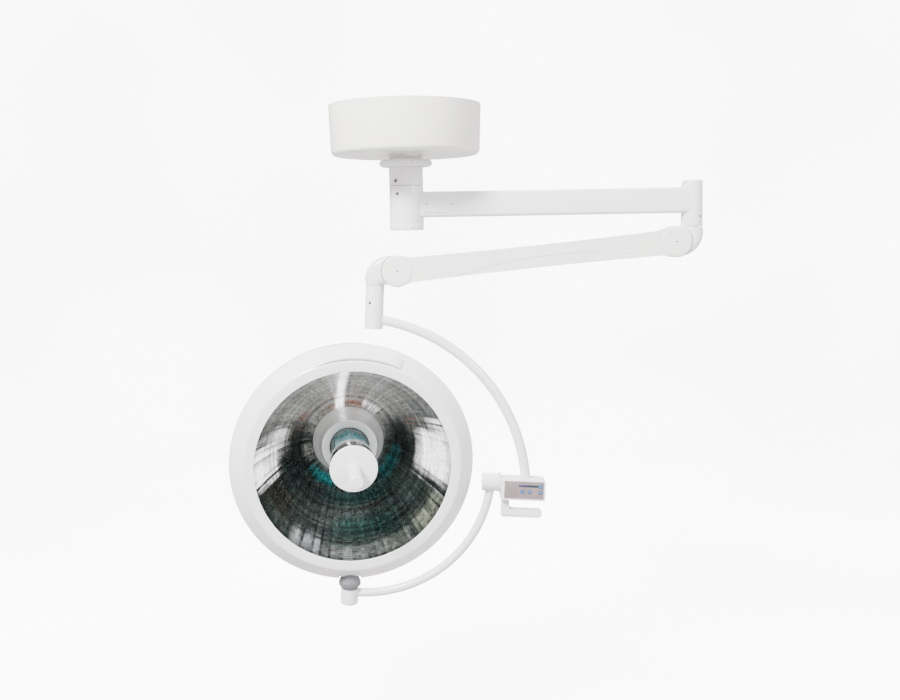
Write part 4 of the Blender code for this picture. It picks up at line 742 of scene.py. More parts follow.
def slab(name, outline, thickness, edge=0.0, steps=5):
    """A flat outline in its own XY plane, thick about that plane, with rounded front and back edges."""
    shape = bmesh.new()
    top = [shape.verts.new((x, y, thickness / 2)) for x, y in outline]
    low = [shape.verts.new((x, y, -thickness / 2)) for x, y in outline]
    shape.faces.new(top)
    shape.faces.new(low)
    for k in range(len(outline)):
        after = (k + 1) % len(outline)
        shape.faces.new((top[k], top[after], low[after], low[k]))
    if edge:
        rims = [e for e in shape.edges if abs(e.verts[0].co.z - e.verts[1].co.z) < 1e-9]
        bmesh.ops.bevel(
            shape, geom=rims, offset=edge, offset_type="OFFSET", segments=steps, profile=0.5,
            affect="EDGES", clamp_overlap=False,
        )
    return made_of(shape, name)


def lofted(name, rings):
    """A closed body through rings of equally many points, capped at both ends."""
    shape = bmesh.new()
    made = [[shape.verts.new(point) for point in ring] for ring in rings]
    count = len(made[0])
    for first, second in zip(made, made[1:]):
        for k in range(count):
            after = (k + 1) % count
            shape.faces.new((first[k], first[after], second[after], second[k]))
    shape.faces.new(made[0])
    shape.faces.new(made[-1])
    return made_of(shape, name)


def swept(name, path, radius, sides=40):
    """A round tube along an arc in the XZ plane."""
    rings = []
    for index, (x, z) in enumerate(path):
        before = Vector(path[max(index - 1, 0)])
        after = Vector(path[min(index + 1, len(path) - 1)])
        along = (after - before).normalized()
        side = Vector((-along.y, along.x))
        ring = []
        for k in range(sides):
            a = math.tau * k / sides
            out = side * radius * math.cos(a)
            ring.append((x + out.x, radius * math.sin(a), z + out.y))
        rings.append(ring)
    return lofted(name, rings)


def block(name, size, edge=0.0, steps=3):
    outline = [(sx * size[0] / 2, sy * size[1] / 2) for sx, sy in SQUARE]
    return slab(name, outline, size[2], edge, steps)


def cylinder(name, radius, length, segments=64):
    half = length / 2
    return turned(name, [(0, half), (radius, half), (radius, -half), (0, -half)], segments)


def combine(obj, tool, way):
    """Cuts, joins or keeps with a tool piece, which is then gone."""
    boolean = obj.modifiers.new(way, "BOOLEAN")
    boolean.operation = way
    boolean.solver = "EXACT"
    boolean.object = tool
    bpy.context.view_layer.update()
    graph = bpy.context.evaluated_depsgraph_get()
    mesh = bpy.data.meshes.new_from_object(obj.evaluated_get(graph))
    obj.modifiers.clear()
    obj.data = mesh
    bpy.data.objects.remove(tool)
    return obj


def cut(obj, tool):
    return combine(obj, tool, "DIFFERENCE")


def join(obj, tool):
    return combine(obj, tool, "UNION")


def drill(obj, radius, length, matrix, segments=64):
    return cut(obj, put(cylinder("drill", radius, length, segments), matrix))


def smooth(obj, angle=28):
    obj.data.shade_smooth()
    obj.data.set_sharp_from_angle(angle=math.radians(angle))
    return obj


def fit(obj, body, finish, angle=28):
    """Paints the piece, puts it on its body, and hides the solid it is named after, so that the piece shows
    in its place.
    """
    obj.data.materials.clear()
    obj.data.materials.append(FINISHES[finish])
    smooth(obj, angle)
    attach(obj, body)
    node = obj.name.removesuffix(PIECE_ENDING)
    if node in frame["nodes"]:
        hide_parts(node)
    return obj


# ================================================================ ceiling set
def canopy():
    inner_edge = CANOPY_EDGE - CANOPY_WALL
    mouth = POST_RADIUS + 0.0015
    corners = [
        (CANOPY_TOP_RADIUS, -0.001, 0.0006),
        (CANOPY_BOTTOM_RADIUS, -CANOPY_HEIGHT, CANOPY_EDGE),
        (mouth, -CANOPY_HEIGHT, 0.0008),
        (mouth, -CANOPY_HEIGHT + CANOPY_WALL, 0.0008),
        (CANOPY_BOTTOM_RADIUS - CANOPY_WALL, -CANOPY_HEIGHT + CANOPY_WALL, inner_edge),
        (CANOPY_TOP_RADIUS - CANOPY_WALL, -0.001, 0.0006),
    ]
    fit(spun("canopy", corners, STILL, 8, 192, closed=True), "ceiling_set", "canopy_enamel")


def collar():
    inner = POST_RADIUS + FIT
    top = COLLAR_HEIGHT / 2
    corners = [
        (inner, top),
        (COLLAR_RADIUS - COLLAR_CHAMFER, top, 0.0035),
        (COLLAR_RADIUS, 0.003, 0.003),
        (COLLAR_RADIUS, -0.003, 0.003),
        (COLLAR_RADIUS - COLLAR_CHAMFER, -top, 0.0035),
        (inner, -top),
    ]
    where = at((0, 0, COLLAR_Z), (0, 0, math.radians(COLLAR_SPLIT_TURN)))
    for side, name in ((-1, "collar_half_left"), (1, "collar_half_right")):
        half = spun(name, corners, where, 5, 160, closed=True)
        wide = COLLAR_RADIUS * 3
        room = block("other_side", (wide, wide, COLLAR_HEIGHT * 2))
        cut(half, put(room, where @ at((-side * (wide / 2 - SEAM / 2), 0, 0))))
        fit(half, "ceiling_set", "white_enamel")


def post_and_hub():
    top = -PLATE_THICKNESS - FIT
    bottom = SWIVEL_Z + SEAM / 2
    ring = [(POST_RADIUS, top), (POST_RADIUS, bottom, 0.0006), (POST_BORE, bottom), (POST_BORE, top)]
    fit(spun("ceiling_post", ring, STILL, 3, 144, closed=True), "ceiling_set", "white_enamel")
    top = SWIVEL_Z - SEAM / 2
    ring = [
        (POST_RADIUS, top, 0.0006),
        (POST_RADIUS, HUB_BOTTOM_Z, 0.0004),
        (POST_BORE, HUB_BOTTOM_Z),
        (POST_BORE, top),
    ]
    hub = spun("arm_hub", ring, STILL, 3, 144, closed=True)
    drill(hub, WIRE_HOLE, POST_WALL * 4, at((POST_RADIUS, 0, ARM_Z), ALONG_X), 32)
    fit(hub, "horizontal_arm", "white_enamel")
    bottom = -HUB_CAP_HEIGHT
    spigot = POST_BORE - FIT
    hollow = spigot - 0.004
    corners = [
        (0, bottom + 0.004),
        (hollow, bottom + 0.004),
        (hollow, 0.005),
        (spigot, 0.005),
        (spigot, -FIT),
        (POST_RADIUS, -FIT, 0.0004),
        (POST_RADIUS, bottom, 0.003),
        (0, bottom),
    ]
    cap = spun("hub_bottom_cap", corners, at((0, 0, HUB_BOTTOM_Z)), 5, 144)
    slot = block("cap_slot", (0.009, 0.006, 0.0025))
    place = (0.017, -POST_RADIUS + 0.004, HUB_BOTTOM_Z - HUB_CAP_HEIGHT + 0.007)
    cut(cap, put(slot, at(place, (0, 0, math.radians(20)))))
    fit(cap, "horizontal_arm", "white_enamel")


# ================================================================ horizontal arm
def arm_beam():
    start = POST_RADIUS * 0.4
    end = ARM_REACH - END_HUB_RADIUS * 0.2
    where = at(((start + end) / 2, 0, ARM_Z), ALONG_X)
    half = (ARM_HEIGHT / 2, ARM_WIDTH / 2)
    outer = [(sx * half[0], sy * half[1], ARM_CORNER) for sx, sy in SQUARE]
    thin = ARM_WALL
    inner = [(sx * (half[0] - thin), sy * (half[1] - thin), ARM_CORNER - thin) for sx, sy in SQUARE]
    tube = put(slab(as_piece("horizontal_arm_tube"), rounded(outer, 8), end - start), where)
    cut(tube, put(slab("bore", rounded(inner, 8), (end - start) * 1.2), where))
    tall = ARM_HEIGHT * 2
    drill(tube, POST_RADIUS + FIT, tall, at((0, 0, ARM_Z)), 144)
    drill(tube, END_HUB_RADIUS + FIT, tall, at((ARM_REACH, 0, ARM_Z)), 128)
    fit(tube, "horizontal_arm", "white_enamel")
    start = POST_RADIUS
    end = start + COVER_LENGTH
    high = COVER_HEIGHT / 2
    outline = [(start, -high), (end, -high, 0.005), (end, high, 0.005), (start, high)]
    cover = slab(as_piece("arm_access_cover"), rounded(outline, 8), COVER_THICKNESS, 0.0004, 2)
    put(cover, at((0, -ARM_WIDTH / 2 - FIT - COVER_THICKNESS / 2, ARM_Z), UPRIGHT))
    fit(cover, "horizontal_arm", "white_enamel")


def end_hub():
    bottom = ELBOW_SEAM_Z + SEAM / 2
    ceiling = END_HUB_TOP - END_HUB_CAP
    corners = [
        (0, END_HUB_TOP),
        (END_HUB_RADIUS, END_HUB_TOP, END_HUB_EDGE),
        (END_HUB_RADIUS, bottom, 0.0005),
        (END_HUB_BORE, bottom),
        (END_HUB_BORE, ceiling),
        (0, ceiling),
    ]
    hub = spun("arm_end_hub", corners, at((ARM_REACH, 0, 0)), 8)
    left = ARM_REACH - END_HUB_RADIUS
    tip = (left + END_SHOULDER / 2, 0, (END_HUB_TOP + ARM_Z + ARM_HEIGHT / 2) / 2)
    slope = math.atan2(END_HUB_TOP - ARM_Z - ARM_HEIGHT / 2, END_SHOULDER)
    shoulder = put(block("shoulder", (0.04, 0.08, 0.02)), at((0, 0, 0.01)))
    cut(hub, put(shoulder, at(tip, (0, -slope, 0))))
    drill(hub, WIRE_HOLE, END_HUB_WALL * 4, at((left, 0, ARM_Z), ALONG_X), 32)
    fit(hub, "horizontal_arm", "white_enamel")


# ================================================================ elbows
def elbow_reach(angle, bore, growth, corner, centre, side):
    straight = bore * 2 + BEND_CORNER + growth * angle / 90
    heading = Vector((math.cos(math.radians(angle)), -math.sin(math.radians(angle)))) * side
    to_centre = Vector(centre) - Vector(corner)
    facing = math.degrees(math.atan2(-to_centre.y * side, to_centre.x * side))
    if angle < facing:
        return straight
    along = to_centre.dot(heading)
    across = to_centre.length_squared - along**2
    limit = (HOUSING_RADIUS - 0.001) ** 2
    if along <= 0 or across >= limit:
        return straight
    return min(straight, along + math.sqrt(limit - across))


def elbow(name, body, axis, seam, radius, growth, offset, centre, side, last_angle, spigot, length):
    """A fan of sections about the bend's inner corner, with a spigot and a slotted tongue."""
    corner = (-side * (radius + BEND_CORNER), seam)
    around = 72
    steps = 60
    rings = []
    for step in range(steps + 1):
        angle = last_angle * step / steps
        reach = elbow_reach(angle, radius, growth, corner, offset, side)
        blend = min(angle / 70, 1.0)
        blend = blend * blend * (3 - 2 * blend)
        half_width = radius + (CASING_WIDTH / 2 - radius) * blend
        power = 2 / (2 + 2.2 * blend)
        middle = (reach + BEND_CORNER) / 2
        half = (reach - BEND_CORNER) / 2
        heading = Vector((math.cos(math.radians(angle)), -math.sin(math.radians(angle)))) * side
        ring = []
        for k in range(around):
            turn = math.tau * k / around
            out = math.copysign(abs(math.cos(turn)) ** power, math.cos(turn))
            wide = math.copysign(abs(math.sin(turn)) ** power, math.sin(turn))
            place = Vector(corner) + heading * (middle + half * out)
            ring.append((place.x, half_width * wide, place.y))
        rings.append(ring)
    piece = put(lofted(as_piece(name), rings), axis)
    overlap = radius * 0.7
    stem = cylinder("spigot", spigot, length + overlap, 72)
    join(piece, put(stem, axis @ at((0, 0, seam + side * (length - overlap) / 2))))
    cheek = CASING_WIDTH / 2 - TONGUE_HALF + 0.004
    for face in (-1, 1):
        place = (centre[0], face * (TONGUE_HALF + cheek / 2), centre[1])
        drill(piece, POCKET_RADIUS, cheek, at(place, UPRIGHT), 128)
    place = (centre[0], 0, centre[1])
    drill(piece, HOUSING_RADIUS, SLOT_HALF * 2, at(place, UPRIGHT), 96)
    drill(piece, PIN_RADIUS + FIT, CASING_WIDTH, at(place, UPRIGHT), 40)
    fit(piece, body, "white_enamel")


def elbows():
    elbow(
        "upper_elbow", "upper_elbow_body", ELBOW, -SEAM / 2, END_HUB_RADIUS, UPPER_ELBOW_GROWTH,
        (-PIVOT_BACK, -PIVOT_DROP), UPPER_PIVOT, 1, 150, ELBOW_SPIGOT, ELBOW_SPIGOT_LENGTH,
    )
    elbow(
        "lower_elbow", "lower_elbow_body", YOKE, SEAM / 2, SOCKET_RADIUS, LOWER_ELBOW_GROWTH,
        (YOKE_PIVOT_BACK, YOKE_PIVOT_DROP), LOWER_PIVOT, -1, 172, YOKE_SPIGOT, YOKE_SPIGOT_LENGTH,
    )


# ================================================================ spring arm
def casing_half(x, inset=0.0):
    """Half the casing's height at a distance x from its middle: waisted, swept up to its round ends."""
    end = SPRING_ARM_LENGTH / 2
    share = min(abs(x) / end, 1.0)
    waist = CASING_MIDDLE_HALF + (CASING_END_HALF - CASING_MIDDLE_HALF) * share**2
    from_pivot = abs(abs(x) - end)
    meets = math.sqrt((HOUSING_RADIUS + CASING_SWEEP) ** 2 - (waist + CASING_SWEEP) ** 2)
    if from_pivot >= meets:
        return waist - inset
    if from_pivot >= meets * HOUSING_RADIUS / (HOUSING_RADIUS + CASING_SWEEP):
        return waist + CASING_SWEEP - math.sqrt(CASING_SWEEP**2 - (meets - from_pivot) ** 2) - inset
    return math.sqrt(HOUSING_RADIUS**2 - from_pivot**2) - inset


def casing_outline():
    length = SPRING_ARM_LENGTH
    near = HOUSING_RADIUS * 0.25
    fine = [near + CASING_FINE_RUN * k / 24 for k in range(24)]
    start = near + CASING_FINE_RUN
    run = fine + [start + (length - start * 2) * k / 60 for k in range(61)]
    run += [length - x for x in reversed(fine)]
    top = [(-x, casing_half(length / 2 - x)) for x in run]
    turn = math.degrees(math.acos(near / HOUSING_RADIUS))
    left = arc((-length, 0), HOUSING_RADIUS, turn, 360 - turn, 60)[1:-1]
    right = arc((0, 0), HOUSING_RADIUS, 180 + turn, 540 - turn, 60)[1:-1]
    return top + left + [(x, -z) for x, z in reversed(top)] + right


def cavity_outline():
    start = HOUSING_RADIUS + 0.018
    count = 40
    run = [start + (SPRING_ARM_LENGTH - start * 2) * k / count for k in range(count + 1)]
    top = [(-x, casing_half(SPRING_ARM_LENGTH / 2 - x, CASING_WALL)) for x in run]
    return top + [(x, -z) for x, z in reversed(top)]


def cover_region(gap):
    """The lens under the arched parting line."""
    middle = (LOWER_COVER_START + LOWER_COVER_END) / 2
    half = (LOWER_COVER_END - LOWER_COVER_START) / 2
    points = []
    for k in range(65):
        share = -1 + 2 * k / 64
        x = middle + share * half
        points.append((-x, -casing_half(SPRING_ARM_LENGTH / 2 - x) * share**2 + gap))
    floor = -CASING_END_HALF * 1.6
    return points + [(-middle - half - gap, floor), (-middle + half + gap, floor)]


def casing():
    where = SPRING @ at((0, 0, 0), UPRIGHT)
    hollow = CASING_WIDTH - CASING_WALL * 2
    shell = put(slab(as_piece("spring_arm_casing"), casing_outline(), CASING_WIDTH, CASING_EDGE, 6), where)
    lower = slab(as_piece("spring_arm_lower_cover"), casing_outline(), CASING_WIDTH, CASING_EDGE, 6)
    put(lower, where)
    cut(shell, put(slab("cavity", cavity_outline(), hollow), where))
    wide = (TONGUE_HALF + FIT) * 2
    for x, inward in ((0.0, -1), (-SPRING_ARM_LENGTH, 1)):
        drill(shell, POCKET_RADIUS + 0.0005, wide, SPRING @ at((x, 0, 0), UPRIGHT), 128)
        passage = block("passage", (PASSAGE_LENGTH, wide, PASSAGE_HEIGHT))
        cut(shell, put(passage, SPRING @ at((x + inward * PASSAGE_FROM_PIVOT, 0, 0))))
        drill(shell, PIN_RADIUS + FIT, CASING_WIDTH * 1.2, SPRING @ at((x, 0, 0), UPRIGHT), 40)
    cut(shell, put(slab("room", cover_region(0.0005), CASING_WIDTH * 1.5), where))
    fit(shell, "spring_arm", "arm_enamel")
    lens = put(slab("lens", cover_region(-0.0002), CASING_WIDTH * 1.5), where)
    combine(lower, lens, "INTERSECT")
    cut(lower, put(slab("cavity", cavity_outline(), hollow), where))
    fit(lower, "spring_arm", "arm_enamel")


def pivot_covers():
    face = CASING_WIDTH / 2 + FIT
    for label, x in (("upper", 0.0), ("lower", -SPRING_ARM_LENGTH)):
        corners = [
            (0, face + DISC_THICKNESS),
            (DISC_RADIUS - 0.004, face + DISC_THICKNESS * 0.92, 0.003),
            (DISC_RADIUS, face + DISC_THICKNESS * 0.3, 0.0004),
            (DISC_RADIUS, face, 0.0003),
            (PIN_RADIUS, face),
            (PIN_RADIUS, -face + FIT),
            (0, -face + FIT),
        ]
        pin = spun(label + "_pivot_pin", corners, SPRING @ at((x, 0, 0), (-math.pi / 2, 0, 0)), 4)
        fit(pin, "spring_arm", "arm_enamel", 40)
        lid = [(corner[0], corner[1] - face, *corner[2:]) for corner in corners[:4]] + [(0, 0)]
        disc = spun(label + "_pivot_disc", lid, SPRING @ at((x, -face, 0), UPRIGHT), 4)
        fit(disc, "spring_arm", "arm_enamel", 40)


# ================================================================ upper yoke
def socket():
    top = -SEAM / 2
    corners = [
        (0, -SOCKET_LENGTH + SOCKET_WALL),
        (SOCKET_BORE, -SOCKET_LENGTH + SOCKET_WALL),
        (SOCKET_BORE, top),
        (SOCKET_RADIUS, top, 0.0006),
        (SOCKET_RADIUS, -SOCKET_LENGTH, 0.0025),
        (0, -SOCKET_LENGTH),
    ]
    fit(spun("yoke_socket", corners, YOKE, 5, 112), "upper_yoke", "white_enamel")


def upper_tube():
    drop = BOX_TOP - UPPER_ARC_CENTRE[1] - 0.004
    start = math.degrees(math.asin(drop / UPPER_ARC_RADIUS))
    end = math.degrees(math.acos((SOCKET_RADIUS * 0.6 - UPPER_ARC_CENTRE[0]) / UPPER_ARC_RADIUS))
    path = arc(UPPER_ARC_CENTRE, UPPER_ARC_RADIUS, start, end, 120)
    tube = put(swept(as_piece("upper_yoke_tube"), path, UPPER_TUBE_RADIUS), YOKE)
    drill(tube, SOCKET_RADIUS + FIT, SOCKET_LENGTH * 2, YOKE @ at((0, 0, -SOCKET_LENGTH)), 112)
    room = block("box_top_room", (BOX_WIDTH, BOX_DEPTH, 0.04))
    cut(tube, put(room, YOKE @ at((BOX_LEFT + BOX_WIDTH / 2, 0, BOX_TOP + FIT - 0.02))))
    fit(tube, "upper_yoke", "white_enamel")


def box_outline(inset):
    left = BOX_LEFT + inset
    right = BOX_LEFT + BOX_WIDTH - inset
    top = BOX_TOP - inset
    bottom = BOX_TOP - BOX_HEIGHT + inset
    small = 0.0035 - inset * 0.6
    corners = [
        (left, bottom, small),
        (right, bottom, small),
        (right, top, BOX_CORNER - inset),
        (left, top, small),
    ]
    return rounded(corners, 8)


def panel_place(across, down):
    return PANEL_LEFT + across, PANEL_TOP - down


def control_box():
    where = YOKE @ at((0, 0, 0), UPRIGHT)
    shell = put(slab(as_piece("control_box_shell"), box_outline(0), BOX_DEPTH, 0.0022, 5), where)
    cut(shell, put(slab("hollow", box_outline(BOX_WALL), BOX_DEPTH - BOX_WALL * 2), where))
    x, z = panel_place(PANEL_WIDTH / 2, PANEL_HEIGHT / 2)
    window = block("window", (PANEL_WIDTH + FIT * 2, BOX_WALL * 4, PANEL_HEIGHT + FIT * 2))
    cut(shell, put(window, YOKE @ at((x, BOX_FRONT, z))))
    drill(shell, TILT_SHAFT + FIT, BOX_WALL * 4, YOKE @ at((BOX_LEFT, 0, STUB_AXIS), ALONG_X), 64)
    fit(shell, "upper_yoke", "white_plastic")
    half = (PANEL_WIDTH / 2, PANEL_HEIGHT / 2)
    outline = rounded([(sx * half[0], sy * half[1], 0.0012) for sx, sy in SQUARE])
    panel = slab(as_piece("control_panel"), outline, PANEL_THICKNESS, 0.0003, 2)
    put(panel, YOKE @ at((x, PANEL_FACE + PANEL_THICKNESS / 2, z), UPRIGHT))
    for across, down in BUTTONS.values():
        bx, bz = panel_place(across, down)
        where = YOKE @ at((bx, PANEL_FACE, bz), UPRIGHT)
        drill(panel, BUTTON_RADIUS + FIT, PANEL_THICKNESS * 4, where, 48)
    x, z = panel_place(*DISPLAY_PLACE)
    room = block("display_room", (DISPLAY_WIDTH + FIT * 2, PANEL_THICKNESS * 4, DISPLAY_HEIGHT + FIT * 2))
    cut(panel, put(room, YOKE @ at((x, PANEL_FACE, z))))
    fit(panel, "upper_yoke", "panel_film")
    size = (DISPLAY_WIDTH, DISPLAY_HEIGHT, PANEL_THICKNESS)
    strip = block(as_piece("brightness_display"), size, 0.0003, 2)
    put(strip, YOKE @ at((x, PANEL_FACE + PANEL_THICKNESS / 2 + 0.0002, z), UPRIGHT))
    fit(strip, "upper_yoke", "display_window_film")


def buttons():
    for name, (across, down) in BUTTONS.items():
        x, z = panel_place(across, down)
        behind = -(PANEL_THICKNESS + FIT)
        wide = BUTTON_RADIUS + BUTTON_FLANGE
        corners = [
            (0.0, BUTTON_PROUD - 0.0003),
            (0.0024, BUTTON_PROUD - 0.00018),
            (0.0030, BUTTON_PROUD - 0.00045),
            (0.0034, BUTTON_PROUD - 0.0002),
            (BUTTON_RADIUS, BUTTON_PROUD, 0.0007),
            (BUTTON_RADIUS, behind),
            (wide, behind),
            (wide, behind - 0.0012),
            (0, behind - 0.0012),
        ]
        key = turned(as_piece(name), rounded(corners, 4), 48)
        spread = key.data.attributes.new("from_axis", "FLOAT", "POINT")
        spread.data.foreach_set("value", [math.hypot(v.co.x, v.co.y) for v in key.data.vertices])
        put(key, YOKE @ at((x, PANEL_FACE, z), UPRIGHT))
        fit(key, name + "_body", "button_blue")


def panel_marks():
    """Three rows of plain marks beside the keys: dots, bars, dots."""
    tall = 0.0003
    lift = PANEL_FACE - tall / 2 - 0.00002
    marks = []
    for row, down in enumerate((0.0200, 0.0295, 0.0390)):
        for column in range(3):
            x, z = panel_place(0.0125 + column * 0.0042, down)
            size = 0.0009 + 0.0003 * ((row + column) % 2)
            mark = block("mark", (0.0026, 0.0012, tall)) if row == 1 else cylinder("mark", size, tall, 20)
            marks.append(put(mark, YOKE @ at((x, lift, z), UPRIGHT)))
    shape = bmesh.new()
    for mark in marks:
        shape.from_mesh(mark.data)
        bpy.data.objects.remove(mark)
    fit(made_of(shape, "panel_marks"), "upper_yoke", "print_grey")


def hand_grip():
    top = BOX_TOP - BOX_HEIGHT - FIT
    upper = top - FINGER_GAP
    lower = upper - GRIP_THICKNESS
    left = BOX_LEFT + GRIP_MARGIN
    stem = left + GRIP_STEM
    right = left + GRIP_LENGTH
    start = stem + 0.010
    pitch = (right - 0.012 - start) / FINGER_DIPS
    steps = 12
    dips = []
    for k in range(FINGER_DIPS * steps):
        hollow = math.sin(math.pi * (k % steps) / steps) ** 1.2
        dips.append((start + pitch * (k / steps), upper - FINGER_DIP * hollow))
    outline = rounded(
        [
            (left, lower, 0.004),
            (right, lower, 0.008),
            (right, upper, 0.008),
            *reversed(dips),
            (stem, upper, 0.002),
            (stem, top),
            (left, top),
        ]
    )
    grip = put(slab(as_piece("box_grip"), outline, GRIP_DEPTH, 0.006, 6), YOKE @ at((0, 0, 0), UPRIGHT))
    fit(grip, "upper_yoke", "white_plastic", angle=34)


def ring_and_stub():
    bore = TILT_SHAFT + FIT
    half = RING_WIDTH / 2
    corners = [(bore, half), (RING_RADIUS, half, 0.002), (RING_RADIUS, -half, 0.002), (bore, -half)]
    where = YOKE @ at((BOX_LEFT - FIT - half, 0, STUB_AXIS), ALONG_X)
    fit(spun("swivel_ring", corners, where, 5, 112, closed=True), "upper_yoke", "white_enamel")
    right = BOX_LEFT - RING_WIDTH - FIT * 2
    inside = BOX_LEFT + TILT_SHAFT_IN_BOX
    corners = [
        (0, inside),
        (TILT_SHAFT, inside, 0.001),
        (TILT_SHAFT, right),
        (STUB_RADIUS, right, 0.0012),
        (STUB_RADIUS, STUB_LEFT, STUB_EDGE),
        (0.0215, STUB_LEFT + 0.0001),
        (0.0210, STUB_LEFT + 0.0010),
        (0.0202, STUB_LEFT + 0.0002),
        (0, STUB_LEFT),
    ]
    fit(spun("swivel_stub", corners, LOWER @ at((0, 0, 0), ALONG_X), 5, 112), "lower_yoke", "white_enamel")


def lower_tube_and_foot():
    start = -math.degrees(math.asin((LOWER_ARC_CENTRE[1] + STUB_RADIUS * 0.5) / LOWER_ARC_RADIUS))
    side = HEAD_X + FOOT_RADIUS * 0.5
    end = -math.degrees(math.acos((side - LOWER_ARC_CENTRE[0]) / LOWER_ARC_RADIUS))
    path = arc(LOWER_ARC_CENTRE, LOWER_ARC_RADIUS, start, end, 120)
    tube = put(swept(as_piece("lower_yoke_tube"), path, LOWER_TUBE_RADIUS), LOWER)
    place = ((STUB_LEFT + BOX_LEFT) / 2, 0, 0)
    drill(tube, STUB_RADIUS + FIT, 0.12, LOWER @ at(place, ALONG_X), 112)
    place = (HEAD_X, 0, FOOT_TOP - FOOT_HEIGHT / 2)
    drill(tube, FOOT_RADIUS + FIT, FOOT_HEIGHT * 2, LOWER @ at(place), 112)
    fit(tube, "lower_yoke", "white_enamel")
    top = FOOT_TOP - SEAM / 2
    corners = [
        (0, top + FOOT_SPINDLE_LENGTH),
        (FOOT_SPINDLE, top + FOOT_SPINDLE_LENGTH, 0.001),
        (FOOT_SPINDLE, top),
        (FOOT_RADIUS, top, 0.0006),
        (FOOT_RADIUS, top - FOOT_HEIGHT, FOOT_EDGE),
        (0, top - FOOT_HEIGHT),
    ]
    fit(spun("head_foot", corners, LOWER @ at((HEAD_X, 0, 0)), 8, 112), "lower_yoke", "white_enamel")


# ================================================================ lamp head
def barrel():
    bore = FOOT_SPINDLE + FIT * 2
    bottom = FOOT_TOP + SEAM / 2
    belt = bottom + BARREL_TAPER + BARREL_BELT
    corners = [
        (bore, BARREL_TOP),
        (BARREL_NECK, BARREL_TOP),
        (BARREL_NECK, bottom + BARREL_HEIGHT, 0.002),
        (BARREL_RADIUS, belt, 0.004),
        (BARREL_RADIUS, belt - BARREL_BELT, 0.004),
        (BARREL_FOOT, bottom, 0.0008),
        (bore, bottom),
    ]
    fit(spun("pivot_barrel", corners, HEAD, 6, 112, closed=True), "lamp_head", "grey_plastic")


def clear_barrel(piece):
    height = 0.20
    for radius, top in ((BARREL_NECK, BARREL_TOP), (BARREL_RADIUS, FOOT_TOP + BARREL_HEIGHT)):
        drill(piece, radius + FIT, height, HEAD @ at((0, 0, top + SEAM - height / 2)), 96)


def rim():
    wall = RIM_WALL
    corners = [
        (OPENING_RADIUS, RIM_FRONT, 0.0015),
        (RIM_FLAT_OUTER, RIM_FRONT, 0.012),
        (RIM_RADIUS, 0.003, 0.010),
        (RIM_RADIUS - 0.003, -RIM_LIP, 0.001),
        (RIM_RADIUS - 0.003 - wall, -RIM_LIP, 0.001),
        (RIM_RADIUS - wall * 1.15, 0.001, 0.006),
        (RIM_FLAT_OUTER - wall * 0.5, RIM_FRONT - wall, 0.008),
        (OPENING_RADIUS, RIM_FRONT - wall, 0.001),
    ]
    piece = spun("front_rim", corners, LAMP, 8, 256, closed=True)
    clear_barrel(piece)
    fit(piece, "lamp_head", "rim_enamel", 36)


def hand_bar():
    """The raised bar on the rim's bevel: long faded left end, blunt right end, undercut below."""
    slope = Vector((RIM_RADIUS - RIM_FLAT_OUTER, 0.003 - RIM_FRONT)).normalized()
    out = Vector((-slope.y, slope.x))
    root = Vector((RIM_FLAT_OUTER, RIM_FRONT))
    section = rounded(
        [
            (0.0075, -0.0010),
            (0.0035, 0.0045, 0.0012),
            (0.0060, GRIP_PROUD * 1.08, 0.0020),
            (0.0210, GRIP_PROUD * 1.05, 0.0080),
            (0.0400, GRIP_PROUD * 0.60, 0.0100),
            (0.0530, -0.0010),
        ],
        5,
    )
    rings = []
    for k in range(121):
        share = -1 + 2 * k / 120
        angle = math.radians(90 + share * GRIP_ARC)
        away = (share + 1) / 2
        right = min(1.0, (1 - abs(min(share, 0.0)) ** 14))
        left = 1.0 - max((away - 0.62) / 0.38, 0.0) ** 1.8
        fade = max(min(right, left), 0.02)
        ring = []
        for along, proud in section:
            place = root + slope * along + out * (FIT + max(proud, -0.001) * fade)
            ring.append((place.x * math.cos(angle), place.x * math.sin(angle), place.y))
        rings.append(ring)
    piece = put(lofted(as_piece("rim_grip"), rings), LAMP)
    fit(piece, "lamp_head", "rim_enamel", 50)


def dome():
    edge = RIM_RADIUS - 0.003 - RIM_WALL - 0.003
    shoulder = -RIM_LIP - 0.010

    def side(wall):
        radius = edge - wall
        depth = HOUSING_DEPTH + shoulder - wall
        turns = [math.radians(90 * k / 48) for k in range(49)]
        power = 2 / 2.3
        return [
            (radius * math.cos(a) ** power, shoulder - depth * math.sin(a) ** power) for a in turns[:-1]
        ] + [(0, shoulder - depth)]

    front = -0.006
    profile = [(edge, front)] + side(0) + side(HOUSING_WALL)[::-1] + [(edge - HOUSING_WALL, front)]
    piece = spun("rear_housing", profile, LAMP, 0, 160, closed=True)
    clear_barrel(piece)
    fit(piece, "lamp_head", "rim_enamel", 40)


